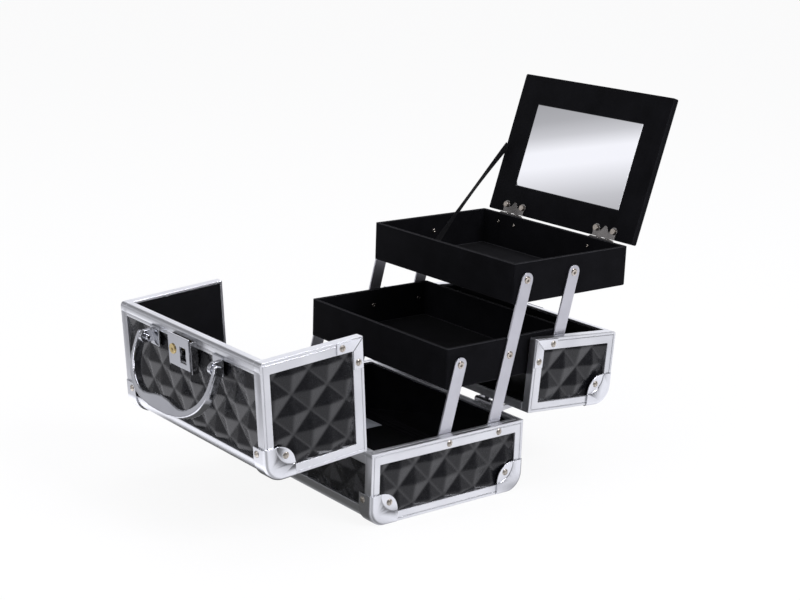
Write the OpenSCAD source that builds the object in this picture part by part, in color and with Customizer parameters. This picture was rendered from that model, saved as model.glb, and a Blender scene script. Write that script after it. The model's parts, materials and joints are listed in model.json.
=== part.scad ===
// Small cosmetic case with an aluminium frame and a black diamond skin, shown wide open.
// The two half lids are swung down, the two trays are raised on their arms and the mirror
// lid of the upper tray stands open. Lengths are in millimetres, angles in degrees.

/* [Case] */
// Length of the case, side to side
case_w = 200; // [170:1:240]
// Depth of the case, front to back
case_d = 153; // [145:1:180]
// Height of the base
base_h = 59; // [55:1:80]
// Height of the two lids above the seam
lid_h = 90.5; // [88:0.5:120]
// Depth of the front lid, from the front face to the split
front_lid_d = 91; // [80:1:100]
// Gap between the base and the closed lids
seam = 0.6; // [0.4:0.1:1]
// Gap between the two closed lids
split_gap = 0.6; // [0.4:0.1:1]
// Radius of the rounded long edges
edge_r = 14.6; // [10:0.2:18]

/* [Walls] */
// Width of the aluminium strips round the panels
strip_w = 8.1; // [6:0.1:10]
// Width of the strips along the open edges
rim_w = 9.6; // [8:0.1:12]
// Thickness of the aluminium frame
frame_t = 4; // [3.6:0.1:5]
// Thickness of the fibreboard walls
board_t = 2.6; // [2:0.1:3]
// Thickness of the fabric lining
lining_t = 0.6; // [0.4:0.1:1]
// Depth of the frame that closes the board's open edges
rim_cap = 2.2; // [1.5:0.1:4]
// Width of the bead line along the rims
bead_w = 0.9; // [0.6:0.1:1.5]
// Depth of the bead line along the rims
bead_t = 0.4; // [0.2:0.1:0.6]
// Rounding of the lids' outer edges at the split
lip_r = 3; // [1:0.1:3]
// Distance of the frame's groove from its outer edges
groove_in = 2.2; // [1.5:0.1:3]
// Width of the frame's groove
groove_w = 0.5; // [0.3:0.1:1]
// Depth of the frame's groove
groove_t = 0.3; // [0.1:0.1:0.5]

/* [Diamond skin] */
// Width of one diamond
diamond_w = 31; // [20:1:50]
// Height of one diamond
diamond_h = 32; // [20:1:50]
// Height of a diamond's peak
relief = 3; // [1:0.1:3]
// Depth of the peaks below the frame's face
peak_inset = 0.2; // [0.1:0.1:0.5]

/* [Corners and plates] */
// Length of a ball corner's arms
corner_len = 25.6; // [22:0.2:30]
// Width of a ball corner's arms at their ends
corner_arm = 9.4; // [8:0.2:11]
// Width of a ball corner's band round the edge
corner_band = 13.6; // [10:0.2:16]
// Thickness of a ball corner
corner_t = 1.2; // [0.8:0.1:1.6]
// Rounding of a ball corner's outer edge
corner_round = 3; // [1.5:0.1:3]
// Radius of the two arcs of a ball corner's screw tab
tab_r = 15.5; // [14:0.5:20]
// Thickness of a ball corner's screw tab
tab_t = 0.8; // [0.5:0.1:1.2]
// Length of the mitre plates' arms
plate_len = 24; // [18:1:30]
// Thickness of the mitre plates
plate_t = 0.9; // [0.5:0.1:1.2]
// Radius of the screw heads
screw_r = 2.7; // [2:0.1:3.2]
// Height of the screw heads
screw_h = 1.1; // [0.8:0.1:1.5]
// Distance of the outer screws from the ends of the corners and plates
screw_in = 5; // [4:0.5:8]

/* [Case hinges] */
// Distance of each hinge from the middle
hinge_x = 54; // [40:1:70]
// Width of a hinge
hinge_w = 28; // [20:1:40]
// Height of a hinge leaf
leaf_h = 13; // [10:0.5:16]
// Thickness of a hinge leaf
leaf_t = 1.3; // [1:0.1:1.6]
// Distance of the hinge pins from the case's faces
pin_out = 4.2; // [3.8:0.1:5]
// Radius of the hinge knuckles
knuckle_r = 2.6; // [2.2:0.1:2.8]
// Radius of the hinge pins
pin_r = 1.1; // [0.8:0.1:1.4]
// Running clearance round a pin
pin_gap = 0.05; // [0.02:0.01:0.1]
// Thickness of the square bar on a rear hinge pin that lifts the lid as the trays fold
carrier_t = 3; // [2.4:0.1:4]
// Thickness of the bar's two arms
carrier_arm_t = 2.2; // [1.6:0.1:3]
// Gap between the bar and what lies on it
carrier_gap = 0.3; // [0.2:0.1:0.6]
// Angle to which the front lid is open
front_open = 94.5; // [85:0.5:95]
// Angle to which the rear lid is open
rear_open = 94.2; // [85:0.1:95]

/* [Trays] */
// Gap between the trays' ends and the case's inner walls
tray_side_gap = 2.6; // [2.6:0.1:6]
// Depth of the trays
tray_d = 125.6; // [118:0.2:128]
// Height of the trays
tray_h = 33; // [28:0.5:34]
// Thickness of the tray walls
tray_wall = 2.6; // [2:0.1:4]
// Thickness of the tray floors
tray_floor = 2.4; // [2:0.1:4]
// Rounding of the trays' upright edges
tray_round = 1.5; // [1:0.1:2]
// Rounding of the trays' long lower edges
tray_belly = 2.4; // [1.5:0.1:2.5]

/* [Arms] */
// Distance between two pivots of an arm
arm_len = 61.4; // [58:0.2:64]
// Width of an arm
arm_w = 11.8; // [9:0.2:13]
// Thickness of an arm
arm_t = 1.4; // [1:0.1:1.4]
// Angle at which the open arms lean back
arm_lean = 13.9; // [8:0.1:20]
// Distance between neighbouring pivots along a tray
pivot_step = 51; // [46:0.5:54]
// Place of the front base pivot, behind the middle of the case
base_pivot_y = -0.3; // [-4:0.1:4]
// Height of the base pivots below the rim
base_pivot_drop = 5.6; // [5:0.1:8]
// Height of the tray pivots above the tray's underside
tray_pivot_h = 19; // [14:0.5:22]
// Distance from the trays' front edge to their first pivot
tray_pivot_y = 13.1; // [10:0.1:16]
// Radius of the pivot rivets
rivet_r = 1.5; // [1.2:0.1:2]
// Radius of the pivot rivets' heads
rivet_head_r = 2.8; // [2.2:0.1:3.4]
// Thickness of the pivot rivets' outer heads
rivet_head_t = 0.5; // [0.3:0.1:0.5]
// Thickness of the base pivots' nuts
nut_t = 1.1; // [0.8:0.1:2]
// Gap between a tray's wall and its arms
arm_gap = 0.4; // [0.3:0.1:0.6]

/* [Mirror lid] */
// Thickness of the mirror lid
mirror_lid_t = 5.6; // [4:0.1:6]
// Width of the glass
glass_w = 129; // [90:1:140]
// Height of the glass
glass_h = 75; // [50:1:85]
// Thickness of the glass
glass_t = 2; // [1.5:0.1:3]
// Depth of the glass below the lid's face
glass_inset = 0.4; // [0.2:0.1:0.8]
// Angle to which the mirror lid is open
mirror_open = 107.7; // [95:0.1:112]
// Distance of each mirror hinge from the middle
mirror_hinge_x = 57; // [40:1:65]
// Width of a mirror hinge
mirror_hinge_w = 26; // [20:1:30]
// Distance of the mirror hinge pins behind the tray
mirror_pin_out = 2.2; // [2:0.1:3]
// Distance of the mirror hinge pins below the tray's top
mirror_pin_drop = 1.1; // [0.8:0.1:1.5]
// Gap between the tray and the closed mirror lid
mirror_gap = 1.2; // [1.2:0.1:1.6]
// Radius of the mirror hinge knuckles
mirror_knuckle_r = 1.7; // [1.5:0.1:1.8]
// Radius of the mirror hinge pins
mirror_pin_r = 0.8; // [0.6:0.1:0.9]
// Thickness of the mirror hinge leaves
mirror_leaf_t = 0.8; // [0.6:0.1:0.8]
// Distance between the two rivets of a mirror hinge
mirror_rivet_step = 20.5; // [16:0.5:22]
// Depth of the tray-side rivets below the tray's top
mirror_rivet_drop = 8; // [7:0.5:10]
// Distance of the lid-side rivets from the lid's hinged edge
mirror_eye_in = 6.7; // [6:0.1:8]
// Place of the ribbon's lower end in the tray, from its front edge and underside
ribbon_low = [69, 10];
// Distance of the ribbon's upper end from the lid's hinged edge
ribbon_high = 61.5; // [40:0.5:80]
// Width of the ribbon stay
ribbon_w = 4.5; // [3:0.5:8]
// Thickness of the ribbon stay
ribbon_t = 0.8; // [0.5:0.1:1]

/* [Handle] */
// Half of the handle's width
handle_half = 58; // [50:0.5:62]
// Reach of the handle from its pivots
handle_reach = 47; // [40:0.5:50]
// Thickness of the handle's band
band_t = 4.2; // [3.5:0.1:6]
// Width of the handle's band
band_w = 8; // [6:0.2:10]
// Height of the handle's pivots above the lid
handle_pivot_h = 7.2; // [6.5:0.1:9]
// Angle at which the resting handle stands off the lid
handle_rest = 22.7; // [15:0.1:30]
// Thickness of the grip at its middle
grip_t = 12.4; // [8:0.2:14]
// Radius of the handle's pivots
handle_pin_r = 2.4; // [2:0.1:3]
// Length of the handle's studs
stud_len = 12; // [8:0.5:14]
// Length, width and thickness of a handle bracket's plate
bracket_size = [13, 15, 1.6];
// Thickness of a handle bracket's lug
lug_t = 4; // [3:0.1:5]
// Gap between a bracket's lug and the handle
lug_gap = 1.6; // [0.5:0.1:2]

/* [Lock] */
// Width of the lock
lock_w = 33; // [28:0.5:38]
// Distance of the lock from the case's front face
lock_y = 62; // [58:0.5:64]
// Length of the lock's base plate
lock_len = 25; // [22:0.5:28]
// Height of the lock's cheeks
lock_h = 6; // [5:0.1:8]
// Radius of the key cylinder
cylinder_r = 4; // [3:0.1:4.5]
// Thickness of the lock's plates
lock_t = 1.2; // [0.8:0.1:1.5]
// Height of the hasp's pin above the lids
hasp_pin_h = 1.9; // [1.8:0.1:2.2]
// Distance of the hasp's pin from the split
hasp_in = 2.2; // [2:0.1:3]
// Length of the hasp from its pin to its hook
hasp_len = 11.4; // [10:0.2:12]
// Width of the hasp
hasp_w = 12; // [8:0.5:14]
// Length, width and thickness of the hasp's plate on the rear lid
hasp_plate_size = [18, 9, 0.8];
// Angle to which the hasp is folded back
hasp_open = 165; // [120:1:165]

/* [Keys] */
// Length, width and height of the key pouch
pouch_size = [22, 26, 2.4];
// Place of the pouch, from the base's left and rear inner walls
pouch_at = [15.5, 22.5];

/* [Hidden] */
$fn = 48;
skin_t = frame_t - peak_inset - relief;
wall_t = frame_t + board_t + lining_t;
tray_w = case_w - 2 * wall_t - 2 * tray_side_gap;
lid_z = base_h + seam;
top_z = lid_z + lid_h;
front_y = -case_d / 2;
split_y = front_y + front_lid_d;
rear_lid_d = case_d - front_lid_d - split_gap;
rear_split_y = split_y + split_gap;
hinge_z = base_h + seam / 2;
groove_far = groove_in + groove_w;
hinge_y = case_d / 2 + pin_out;
through = 2 * case_w;

// Trays and their pivots, as y and z
pivot_b1 = [base_pivot_y, base_h - base_pivot_drop];
pivot_b2 = pivot_b1 + [pivot_step, 0];
arm_step = arm_len * [sin(arm_lean), cos(arm_lean)];
pivot_l1 = pivot_b1 + arm_step;
pivot_l2 = pivot_b2 + arm_step;
pivot_l3 = pivot_l2 + [pivot_step, 0];
pivot_u1 = pivot_l2 + arm_step;
pivot_u2 = pivot_u1 + [pivot_step, 0];
lower_tray_at = pivot_l1 - [tray_pivot_y, tray_pivot_h];
upper_tray_at = pivot_u1 - [tray_pivot_y, tray_pivot_h];
arm_x = tray_w / 2 + arm_gap;
open_pivot_gap = 0.1;
tray_rear_y = upper_tray_at[0] + tray_d;
tray_top_z = upper_tray_at[1] + tray_h;
mirror_pin = [tray_rear_y + mirror_pin_out, tray_top_z - mirror_pin_drop];

// Helpers

// Extrudes a profile drawn as (y, z) along x, from the middle
module along_x(length) {
    rotate([90, 0, 90]) linear_extrude(length, center = true) children();
}

// Both ends of the case
module both_sides() {
    for (side = [0, 1]) mirror([side, 0, 0]) children();
}

// Places what is drawn on the closed front lid where the open lid is
module swing_front() {
    translate([0, -hinge_y, hinge_z]) rotate([front_open, 0, 0])
        translate([0, hinge_y, -hinge_z]) children();
}

// Places what is drawn on the closed rear lid where the open lid is
module swing_rear() {
    translate([0, hinge_y, hinge_z]) rotate([-rear_open, 0, 0])
        translate([0, -hinge_y, -hinge_z]) children();
}

// Places what is drawn on the closed mirror lid where the open lid is
module swing_mirror() {
    translate([0, mirror_pin[0], mirror_pin[1]]) rotate([-mirror_open, 0, 0])
        translate([0, -mirror_pin[0], -mirror_pin[1]]) children();
}

// Rectangle with rounded lower corners
module rounded_bottom(y0, y1, z0, z1, r) {
    translate([y0 + r, z0]) square([y1 - y0 - 2 * r, z1 - z0]);
    translate([y0, z0 + r]) square([y1 - y0, z1 - z0 - r]);
    translate([y0 + r, z0 + r]) circle(r);
    translate([y1 - r, z0 + r]) circle(r);
}

// Rectangle with its upper corner at y0 rounded
module rounded_top_corner(y0, y1, z0, z1, r) {
    translate([y0 + r, z0]) square([y1 - y0 - r, z1 - z0]);
    translate([y0, z0]) square([y1 - y0, z1 - z0 - r]);
    translate([y0 + r, z1 - r]) circle(r);
}

// The base as a filled block, each closed face moved in by inset and the rim down by back
module base_block(inset, back) {
    along_x(case_w - 2 * inset)
        rounded_bottom(front_y + inset, -front_y - inset, inset, base_h - back, edge_r - inset);
}

// A box between two corners
module box(low, high) {
    translate(low) cube(high - low);
}

// Sheet covered with four-sided pyramids, its back at z = 0, pushed up towards +z
module diamond_sheet(w, h, shift) {
    slope = atan2(diamond_w, diamond_h);
    ridge_step = diamond_w * diamond_h / norm([diamond_w, diamond_h]) / 2;
    ridges = ceil((norm([w, h]) / 2 + norm(shift)) / ridge_step) + 2;
    profile = concat([[-ridges * ridge_step, -1]],
        [for (i = [-ridges:ridges]) [i * ridge_step, skin_t + (i % 2 == 0 ? relief : 0)]],
        [[ridges * ridge_step, -1]]);
    intersection() {
        translate([-w / 2, -h / 2, 0]) cube([w, h, skin_t + relief]);
        translate([shift[0], shift[1], 0]) rotate(slope) rotate([90, 0, 0])
            linear_extrude(ridges * ridge_step * 2, center = true) polygon(profile);
        translate([shift[0], shift[1], 0]) rotate(-slope) rotate([90, 0, 0])
            linear_extrude(ridges * ridge_step * 2, center = true) polygon(profile);
    }
}

// Low dome on z = 0 with a slot across it
module screw_head(r = screw_r, h = screw_h) {
    dome_r = (r * r + h * h) / (2 * h);
    difference() {
        rotate_extrude() intersection() {
            translate([0, h - dome_r]) circle(dome_r);
            square([r, h]);
        }
        rotate(20) translate([-r, -0.35, h * 0.45]) cube([2 * r, 0.7, h]);
    }
}

// Places a screw head with its base at a point, facing along a direction
module screw_at(point, turn) {
    translate(point) rotate(turn) screw_head();
}

// Bead line round a profile drawn as (y, z): a shallow groove of bead_w
module bead_ring(outer, inner, z0) {
    translate([0, 0, z0]) linear_extrude(bead_t + 1) difference() {
        square(outer, center = true);
        square(inner, center = true);
    }
}

// Base

base_window_z = [edge_r, base_h - rim_w];
side_window_y = case_d - 2 * strip_w;

// Openings of the base frame for the panels
module base_windows() {
    along_x(through) rounded_bottom(front_y + strip_w, -front_y - strip_w, strip_w,
        base_h - rim_w, edge_r - strip_w);
    box([-case_w / 2 + strip_w, -case_d, base_window_z[0]],
        [case_w / 2 - strip_w, case_d, base_window_z[1]]);
    box([-case_w / 2 + strip_w, front_y + edge_r + 2, -1],
        [case_w / 2 - strip_w, -front_y - edge_r - 2, base_h / 2]);
}

// Holes for the screws that carry the arms
module base_pivot_holes() {
    for (pivot = [pivot_b1, pivot_b2]) translate([0, pivot[0], pivot[1]])
        rotate([0, 90, 0]) cylinder(r = rivet_r + pin_gap, h = through, center = true);
}

// Presses what is drawn as (y, z) into both side faces of the case
module side_grooves() {
    both_sides() translate([case_w / 2 - groove_t, 0, 0]) rotate([90, 0, 90])
        linear_extrude(1) children();
}

module base_frame() {
    bead_in = wall_t * 0.45;
    difference() {
        base_block(0, 0);
        base_block(frame_t, rim_cap);
        base_block(wall_t, -1);
        base_windows();
        base_pivot_holes();
        side_grooves() difference() {
            rounded_bottom(front_y + groove_in, -front_y - groove_in, groove_in,
                base_h - groove_in, edge_r - groove_in);
            rounded_bottom(front_y + groove_far, -front_y - groove_far, groove_far,
                base_h - groove_far, edge_r - groove_far);
        }
        for (face = [0, 1]) mirror([0, face, 0])
            box([-case_w, front_y - 1, base_h - groove_far],
                [case_w, front_y + groove_t, base_h - groove_in]);
        bead_ring([case_w - 2 * bead_in, case_d - 2 * bead_in],
            [case_w - 2 * bead_in - 2 * bead_w, case_d - 2 * bead_in - 2 * bead_w],
            base_h - bead_t);
    }
}

module base_end_frames() {
    color("silver") difference() {
        base_frame();
        box([-case_w / 2 + strip_w, -case_d, -1], [case_w / 2 - strip_w, case_d, base_h + 1]);
    }
}

module base_rails() {
    color("silver") intersection() {
        base_frame();
        box([-case_w / 2 + strip_w, -case_d, -1], [case_w / 2 - strip_w, case_d, base_h + 1]);
    }
}

module base_board() {
    color("saddlebrown") difference() {
        base_block(frame_t, rim_cap);
        base_block(frame_t + board_t, -1);
        base_pivot_holes();
    }
}

module base_lining() {
    color([0.05, 0.05, 0.06]) difference() {
        base_block(frame_t + board_t, rim_cap);
        base_block(wall_t, -1);
        base_pivot_holes();
    }
}

module base_panels() {
    face_h = base_window_z[1] - base_window_z[0];
    color([0.12, 0.12, 0.13]) {
        both_sides() intersection() {
            translate([case_w / 2 - frame_t, 0, base_h / 2]) rotate([90, 0, 90])
                diamond_sheet(case_d, base_h, [-2, -4]);
            along_x(through) rounded_bottom(front_y + strip_w, -front_y - strip_w, strip_w,
                base_h - rim_w, edge_r - strip_w);
        }
        for (face = [0, 1]) mirror([0, face, 0])
            translate([0, front_y + frame_t, base_window_z[0] + face_h / 2])
                rotate([90, 0, 0]) diamond_sheet(case_w - 2 * strip_w, face_h, [0, 6]);
    }
}

module base_bottom_panel() {
    color([0.1, 0.1, 0.1])
        box([-case_w / 2 + strip_w, front_y + edge_r + 2, 0],
            [case_w / 2 - strip_w, -front_y - edge_r - 2, frame_t]);
}

// Cross-section of a ball corner: distance from the edge's axis, and place along it
module corner_section() {
    outer = edge_r + corner_t;
    difference() {
        translate([0, -corner_t]) square([outer, corner_band + corner_t]);
        translate([outer - corner_round, -corner_t]) difference() {
            translate([0, -1]) square([corner_round + 1, corner_round + 1]);
            translate([0, corner_round]) circle(corner_round);
        }
    }
}

// Ball corner at a corner of the case that lies at the origin, with the case towards +x, +y
// and +z and its rounded edge along x
module ball_corner() {
    arm_end = (corner_arm + corner_len) / 2;
    tab_offset = sqrt(tab_r * tab_r - pow(corner_len - corner_arm, 2) / 2) / sqrt(2);
    difference() {
        intersection() {
            translate([0, edge_r, edge_r]) {
                rotate([0, 90, 0]) rotate_extrude() corner_section();
                rotate([0, 0, -90]) linear_extrude(corner_len) corner_section();
                mirror([0, 1, -1]) rotate([0, 0, -90]) linear_extrude(corner_len)
                    corner_section();
            }
            box([-corner_t, -corner_t, -corner_t], [corner_band, corner_len, corner_len]);
        }
        along_x(through) translate([1, 1] * (arm_end + tab_offset)) circle(tab_r);
        translate([corner_len, 0, 0]) along_x(2 * corner_len)
            rounded_bottom(0, 4 * corner_len, 0, 4 * corner_len, edge_r);
    }
    translate([-tab_t / 2, 0, 0]) along_x(tab_t) intersection() {
        translate([1, 1] * (arm_end + tab_offset)) circle(tab_r);
        translate([1, 1] * (arm_end - tab_offset)) circle(tab_r);
    }
}

// The two screws of a ball corner
module corner_screws() {
    arm_end = (corner_arm + corner_len) / 2;
    screw_at([-tab_t, arm_end, arm_end], [0, -90, 0]);
    screw_at([corner_band * 0.66, -corner_t, corner_len - screw_in], [90, 0, 0]);
}

// The third screw of a lid's corner, in its other band
module top_screw() {
    screw_at([corner_band * 0.66, corner_len - screw_in, -corner_t], [180, 0, 0]);
}

// Places a ball corner or its screws at the two upper corners of a closed lid's face
module lid_corners() {
    both_sides() translate([-case_w / 2, front_y, top_z]) mirror([0, 0, 1]) children();
}

module base_ball_corners() {
    color("gainsboro") intersection() {
        for (face = [0, 1]) mirror([0, face, 0]) both_sides()
            translate([-case_w / 2, front_y, 0]) ball_corner();
        box([-case_w, -case_d, 0], [case_w, case_d, base_h]);
    }
}

module base_screws() {
    color("silver") for (face = [0, 1]) mirror([0, face, 0]) both_sides()
        translate([-case_w / 2, front_y, 0]) corner_screws();
}

// Screws that carry the arms: head outside the rim, shaft through the wall, nut inside
module base_pivot_screws() {
    nut_x = arm_x - 0.1;
    color("silver") both_sides() for (pivot = [pivot_b1, pivot_b2])
        translate([0, pivot[0], pivot[1]]) {
            translate([case_w / 2, 0, 0]) rotate([0, 90, 0]) screw_head(rivet_head_r, screw_h);
            translate([nut_x, 0, 0]) rotate([0, 90, 0])
                cylinder(r = rivet_r, h = case_w / 2 - nut_x);
            translate([nut_x - nut_t, 0, 0]) rotate([0, 90, 0])
                cylinder(r = rivet_head_r, h = nut_t);
        }
}

// Case hinges, drawn at the front face: o runs outward from the face, h up from the pin

// Width of one knuckle
knuckle_step = hinge_w / 5;

// Extrudes a hinge profile drawn as (outward, up) along x between two places
module hinge_slice(x0, x1) {
    translate([x0, front_y, hinge_z]) rotate([90, 0, 90]) linear_extrude(x1 - x0)
        mirror([1, 0]) children();
}

// One leaf of a case hinge; its knuckles are those with a number in the list
module case_leaf(knuckles, up) {
    side_gap = 0.15;
    flip = up ? 0 : 1;
    difference() {
        union() {
            hinge_slice(-hinge_w / 2, hinge_w / 2) mirror([0, flip])
                translate([0, knuckle_r + 0.8]) square([leaf_t, leaf_h - knuckle_r - 0.8]);
            for (i = knuckles) hinge_slice((i - 2.5) * knuckle_step + side_gap,
                (i - 1.5) * knuckle_step - side_gap) mirror([0, flip]) {
                translate([pin_out, 0]) circle(knuckle_r);
                polygon([[0, leaf_h / 2], [0, knuckle_r], [pin_out - knuckle_r * 0.9, 0.9],
                    [pin_out, knuckle_r], [leaf_t, knuckle_r + 2]]);
            }
        }
        translate([0, front_y - pin_out, hinge_z]) rotate([0, 90, 0])
            cylinder(r = pin_r + pin_gap, h = 2 * hinge_w, center = true);
    }
    for (x = [-hinge_w / 3, hinge_w / 3])
        translate([x, front_y - leaf_t, hinge_z + (up ? 1 : -1) * (leaf_h * 0.68)])
            rotate([90, 0, 0]) screw_head(1.9, 0.7);
}

module case_pin() {
    head_h = 0.8;
    translate([0, front_y - pin_out, hinge_z]) rotate([0, 90, 0]) {
        cylinder(r = pin_r, h = hinge_w + 0.2, center = true);
        for (end = [0, 1]) mirror([0, 0, end]) translate([0, 0, hinge_w / 2 + 0.1])
            cylinder(r = knuckle_r * 0.8, h = head_h);
    }
}

// The bar and arms on a pin that lift a lid, drawn on the closed lid
module lid_carrier() {
    reach = leaf_h + carrier_gap;
    inside = hinge_w / 2 + 0.1;
    hinge_slice(-inside - carrier_arm_t, inside + carrier_arm_t)
        translate([carrier_gap, reach]) square(carrier_t);
    for (end = [0, 1]) mirror([end, 0, 0]) hinge_slice(inside, inside + carrier_arm_t) {
        translate([pin_out, 0]) circle(knuckle_r);
        polygon([[pin_out - knuckle_r * 0.8, 0], [pin_out + knuckle_r * 0.8, 0],
            [carrier_gap + carrier_t, reach + carrier_t], [carrier_gap, reach + carrier_t]]);
    }
}

// Both hinges of a face
module hinge_pair() {
    for (side = [-1, 1]) translate([side * hinge_x, 0, 0]) children();
}

module front_hinge_base_leaves() {
    color("gray") hinge_pair() case_leaf([0, 2, 4], false);
}

module front_hinge_pins() {
    color("gray") hinge_pair() case_pin();
}

module front_hinge_lid_leaves() {
    color("gray") swing_front() hinge_pair() case_leaf([1, 3], true);
}

module rear_hinge_base_leaves() {
    color("gray") mirror([0, 1, 0]) hinge_pair() case_leaf([0, 2, 4], false);
}

module rear_hinge_pins() {
    color("gray") {
        mirror([0, 1, 0]) hinge_pair() case_pin();
        swing_rear() mirror([0, 1, 0]) hinge_pair() lid_carrier();
    }
}

module rear_hinge_lid_leaves() {
    color("gray") swing_rear() mirror([0, 1, 0]) hinge_pair() case_leaf([1, 3], true);
}

// Lids, drawn closed. The depth of a lid runs from its own outer face to the split.

// Openings of a closed lid's frame, for a lid of some depth drawn at the front
module lid_windows(depth) {
    along_x(through) rounded_top_corner(front_y + strip_w, front_y + depth - rim_w,
        lid_z + rim_w, top_z - strip_w, edge_r - strip_w);
    box([-case_w / 2 + strip_w, -case_d, lid_z + rim_w],
        [case_w / 2 - strip_w, 0, top_z - edge_r]);
    box([-case_w / 2 + strip_w, front_y + edge_r, lid_z + lid_h / 2],
        [case_w / 2 - strip_w, front_y + depth - rim_w, top_z + 1]);
}

// A lid of some depth as a filled block, closed and at the front
module lid_block(depth, inset, back) {
    along_x(case_w - 2 * inset)
        rounded_top_corner(front_y + inset, front_y + depth - back, lid_z + back,
            top_z - inset, edge_r - inset);
}

// Section of a lid of some depth with its outer edge at the split rounded
module lid_lip(depth) {
    split = front_y + depth;
    translate([front_y, lid_z]) square([depth - lip_r, lid_h]);
    translate([front_y, lid_z]) square([depth, lid_h - lip_r]);
    translate([split - lip_r, top_z - lip_r]) circle(lip_r);
}

// Outline of the groove in a lid's side faces
module lid_groove(depth, inset) {
    rounded_top_corner(front_y + inset, front_y + depth - inset, lid_z + inset,
        top_z - inset, edge_r - inset);
}

module lid_frame(depth) {
    difference() {
        intersection() {
            lid_block(depth, 0, 0);
            along_x(case_w) lid_lip(depth);
        }
        side_grooves() difference() {
            lid_groove(depth, groove_in);
            lid_groove(depth, groove_far);
        }
        box([-case_w, front_y - 1, lid_z + groove_in],
            [case_w, front_y + groove_t, lid_z + groove_far]);
        box([-case_w, front_y + depth - rim_w + groove_in, top_z - groove_t],
            [case_w, front_y + depth - rim_w + groove_far, top_z + 1]);
        lid_block(depth, frame_t, rim_cap);
        lid_block(depth, wall_t, -1);
        lid_windows(depth);
    }
}

// The middle of the case, between its two end frames
module between_ends() {
    box([-case_w / 2 + strip_w, -case_d, -1], [case_w / 2 - strip_w, case_d, top_z + 1]);
}

module lid_end_frames(depth) {
    difference() {
        lid_frame(depth);
        between_ends();
    }
}

module lid_rails(depth) {
    intersection() {
        lid_frame(depth);
        between_ends();
    }
}

module lid_board(depth) {
    difference() {
        lid_block(depth, frame_t, rim_cap);
        lid_block(depth, frame_t + board_t, -1);
    }
}

module lid_lining(depth) {
    difference() {
        lid_block(depth, frame_t + board_t, rim_cap);
        lid_block(depth, wall_t, -1);
    }
}

// Diamond skin of a lid: its two sides, its face and its top, with the pattern's shifts
module lid_panels(depth, side_shift, face_shift, top_shift) {
    face_low = lid_z + rim_w;
    face_high = top_z - edge_r;
    top_low = front_y + edge_r;
    top_high = front_y + depth - rim_w;
    middle = [(front_y * 2 + depth) / 2, (lid_z + top_z) / 2];
    both_sides() intersection() {
        translate([case_w / 2 - frame_t, middle[0], middle[1]]) rotate([90, 0, 90])
            diamond_sheet(depth, lid_h, side_shift);
        along_x(through) rounded_top_corner(front_y + strip_w, front_y + depth - rim_w,
            lid_z + rim_w, top_z - strip_w, edge_r - strip_w);
    }
    translate([0, front_y + frame_t, (face_low + face_high) / 2]) rotate([90, 0, 0])
        diamond_sheet(case_w - 2 * strip_w, face_high - face_low, face_shift);
    translate([0, (top_low + top_high) / 2, top_z - frame_t])
        diamond_sheet(case_w - 2 * strip_w, top_high - top_low, top_shift);
}

// L-shaped plates over the corners where the seam meets the split, on both sides
module mitre_plates(depth) {
    margin = 0.7;
    inner = rim_w - 0.3;
    both_sides() translate([-case_w / 2, front_y + depth, lid_z]) rotate([0, 0, 180])
        rotate([90, 0, 90]) difference() {
            linear_extrude(plate_t) polygon([[margin, margin], [plate_len, margin],
                [plate_len, inner], [inner, inner], [inner, plate_len], [margin, plate_len]]);
            translate([0, 0, plate_t * 0.6]) linear_extrude(plate_t) rotate(45)
                translate([1.5, -0.2]) square([2 * inner, 0.4]);
        }
}

module mitre_screws(depth) {
    centre = rim_w / 2 + 0.3;
    both_sides() translate([-case_w / 2 - plate_t, front_y + depth, lid_z]) {
        screw_at([0, -centre, plate_len - screw_in], [0, -90, 0]);
        screw_at([0, -plate_len + screw_in, centre], [0, -90, 0]);
    }
}

// Front lid

module front_lid_board() {
    color("saddlebrown") swing_front() lid_board(front_lid_d);
}

module front_lid_panels() {
    color([0.12, 0.12, 0.13]) swing_front()
        lid_panels(front_lid_d, [15, 1.8], [0, 0], [1.3, 4]);
}

module front_lid_lining() {
    color([0.05, 0.05, 0.06]) swing_front() lid_lining(front_lid_d);
}

module front_lid_end_frames() {
    color("silver") swing_front() lid_end_frames(front_lid_d);
}

module front_lid_rails() {
    color("silver") swing_front() lid_rails(front_lid_d);
}

module front_lid_ball_corners() {
    color("gainsboro") swing_front() lid_corners() ball_corner();
}

module front_lid_mitre_plates() {
    color("gainsboro") swing_front() mitre_plates(front_lid_d);
}

module front_lid_screws() {
    color("silver") swing_front() {
        lid_corners() {
            corner_screws();
            top_screw();
        }
        mitre_screws(front_lid_d);
    }
}

// Rear lid, drawn as a front lid of less depth and turned round

module rear_lid_board() {
    color("saddlebrown") swing_rear() mirror([0, 1, 0]) lid_board(rear_lid_d);
}

module rear_lid_panels() {
    color([0.12, 0.12, 0.13]) swing_rear() mirror([0, 1, 0])
        lid_panels(rear_lid_d, [2.8, -10], [0, 8], [0, 2]);
}

module rear_lid_lining() {
    color([0.05, 0.05, 0.06]) swing_rear() mirror([0, 1, 0]) lid_lining(rear_lid_d);
}

module rear_lid_end_frames() {
    color("silver") swing_rear() mirror([0, 1, 0]) lid_end_frames(rear_lid_d);
}

module rear_lid_rails() {
    color("silver") swing_rear() mirror([0, 1, 0]) lid_rails(rear_lid_d);
}

module rear_lid_ball_corners() {
    color("gainsboro") swing_rear() mirror([0, 1, 0]) lid_corners() ball_corner();
}

module rear_lid_mitre_plates() {
    color("gainsboro") swing_rear() mirror([0, 1, 0]) mitre_plates(rear_lid_d);
}

module rear_lid_screws() {
    color("silver") swing_rear() mirror([0, 1, 0]) {
        lid_corners() {
            corner_screws();
            top_screw();
        }
        mitre_screws(rear_lid_d);
    }
}

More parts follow.
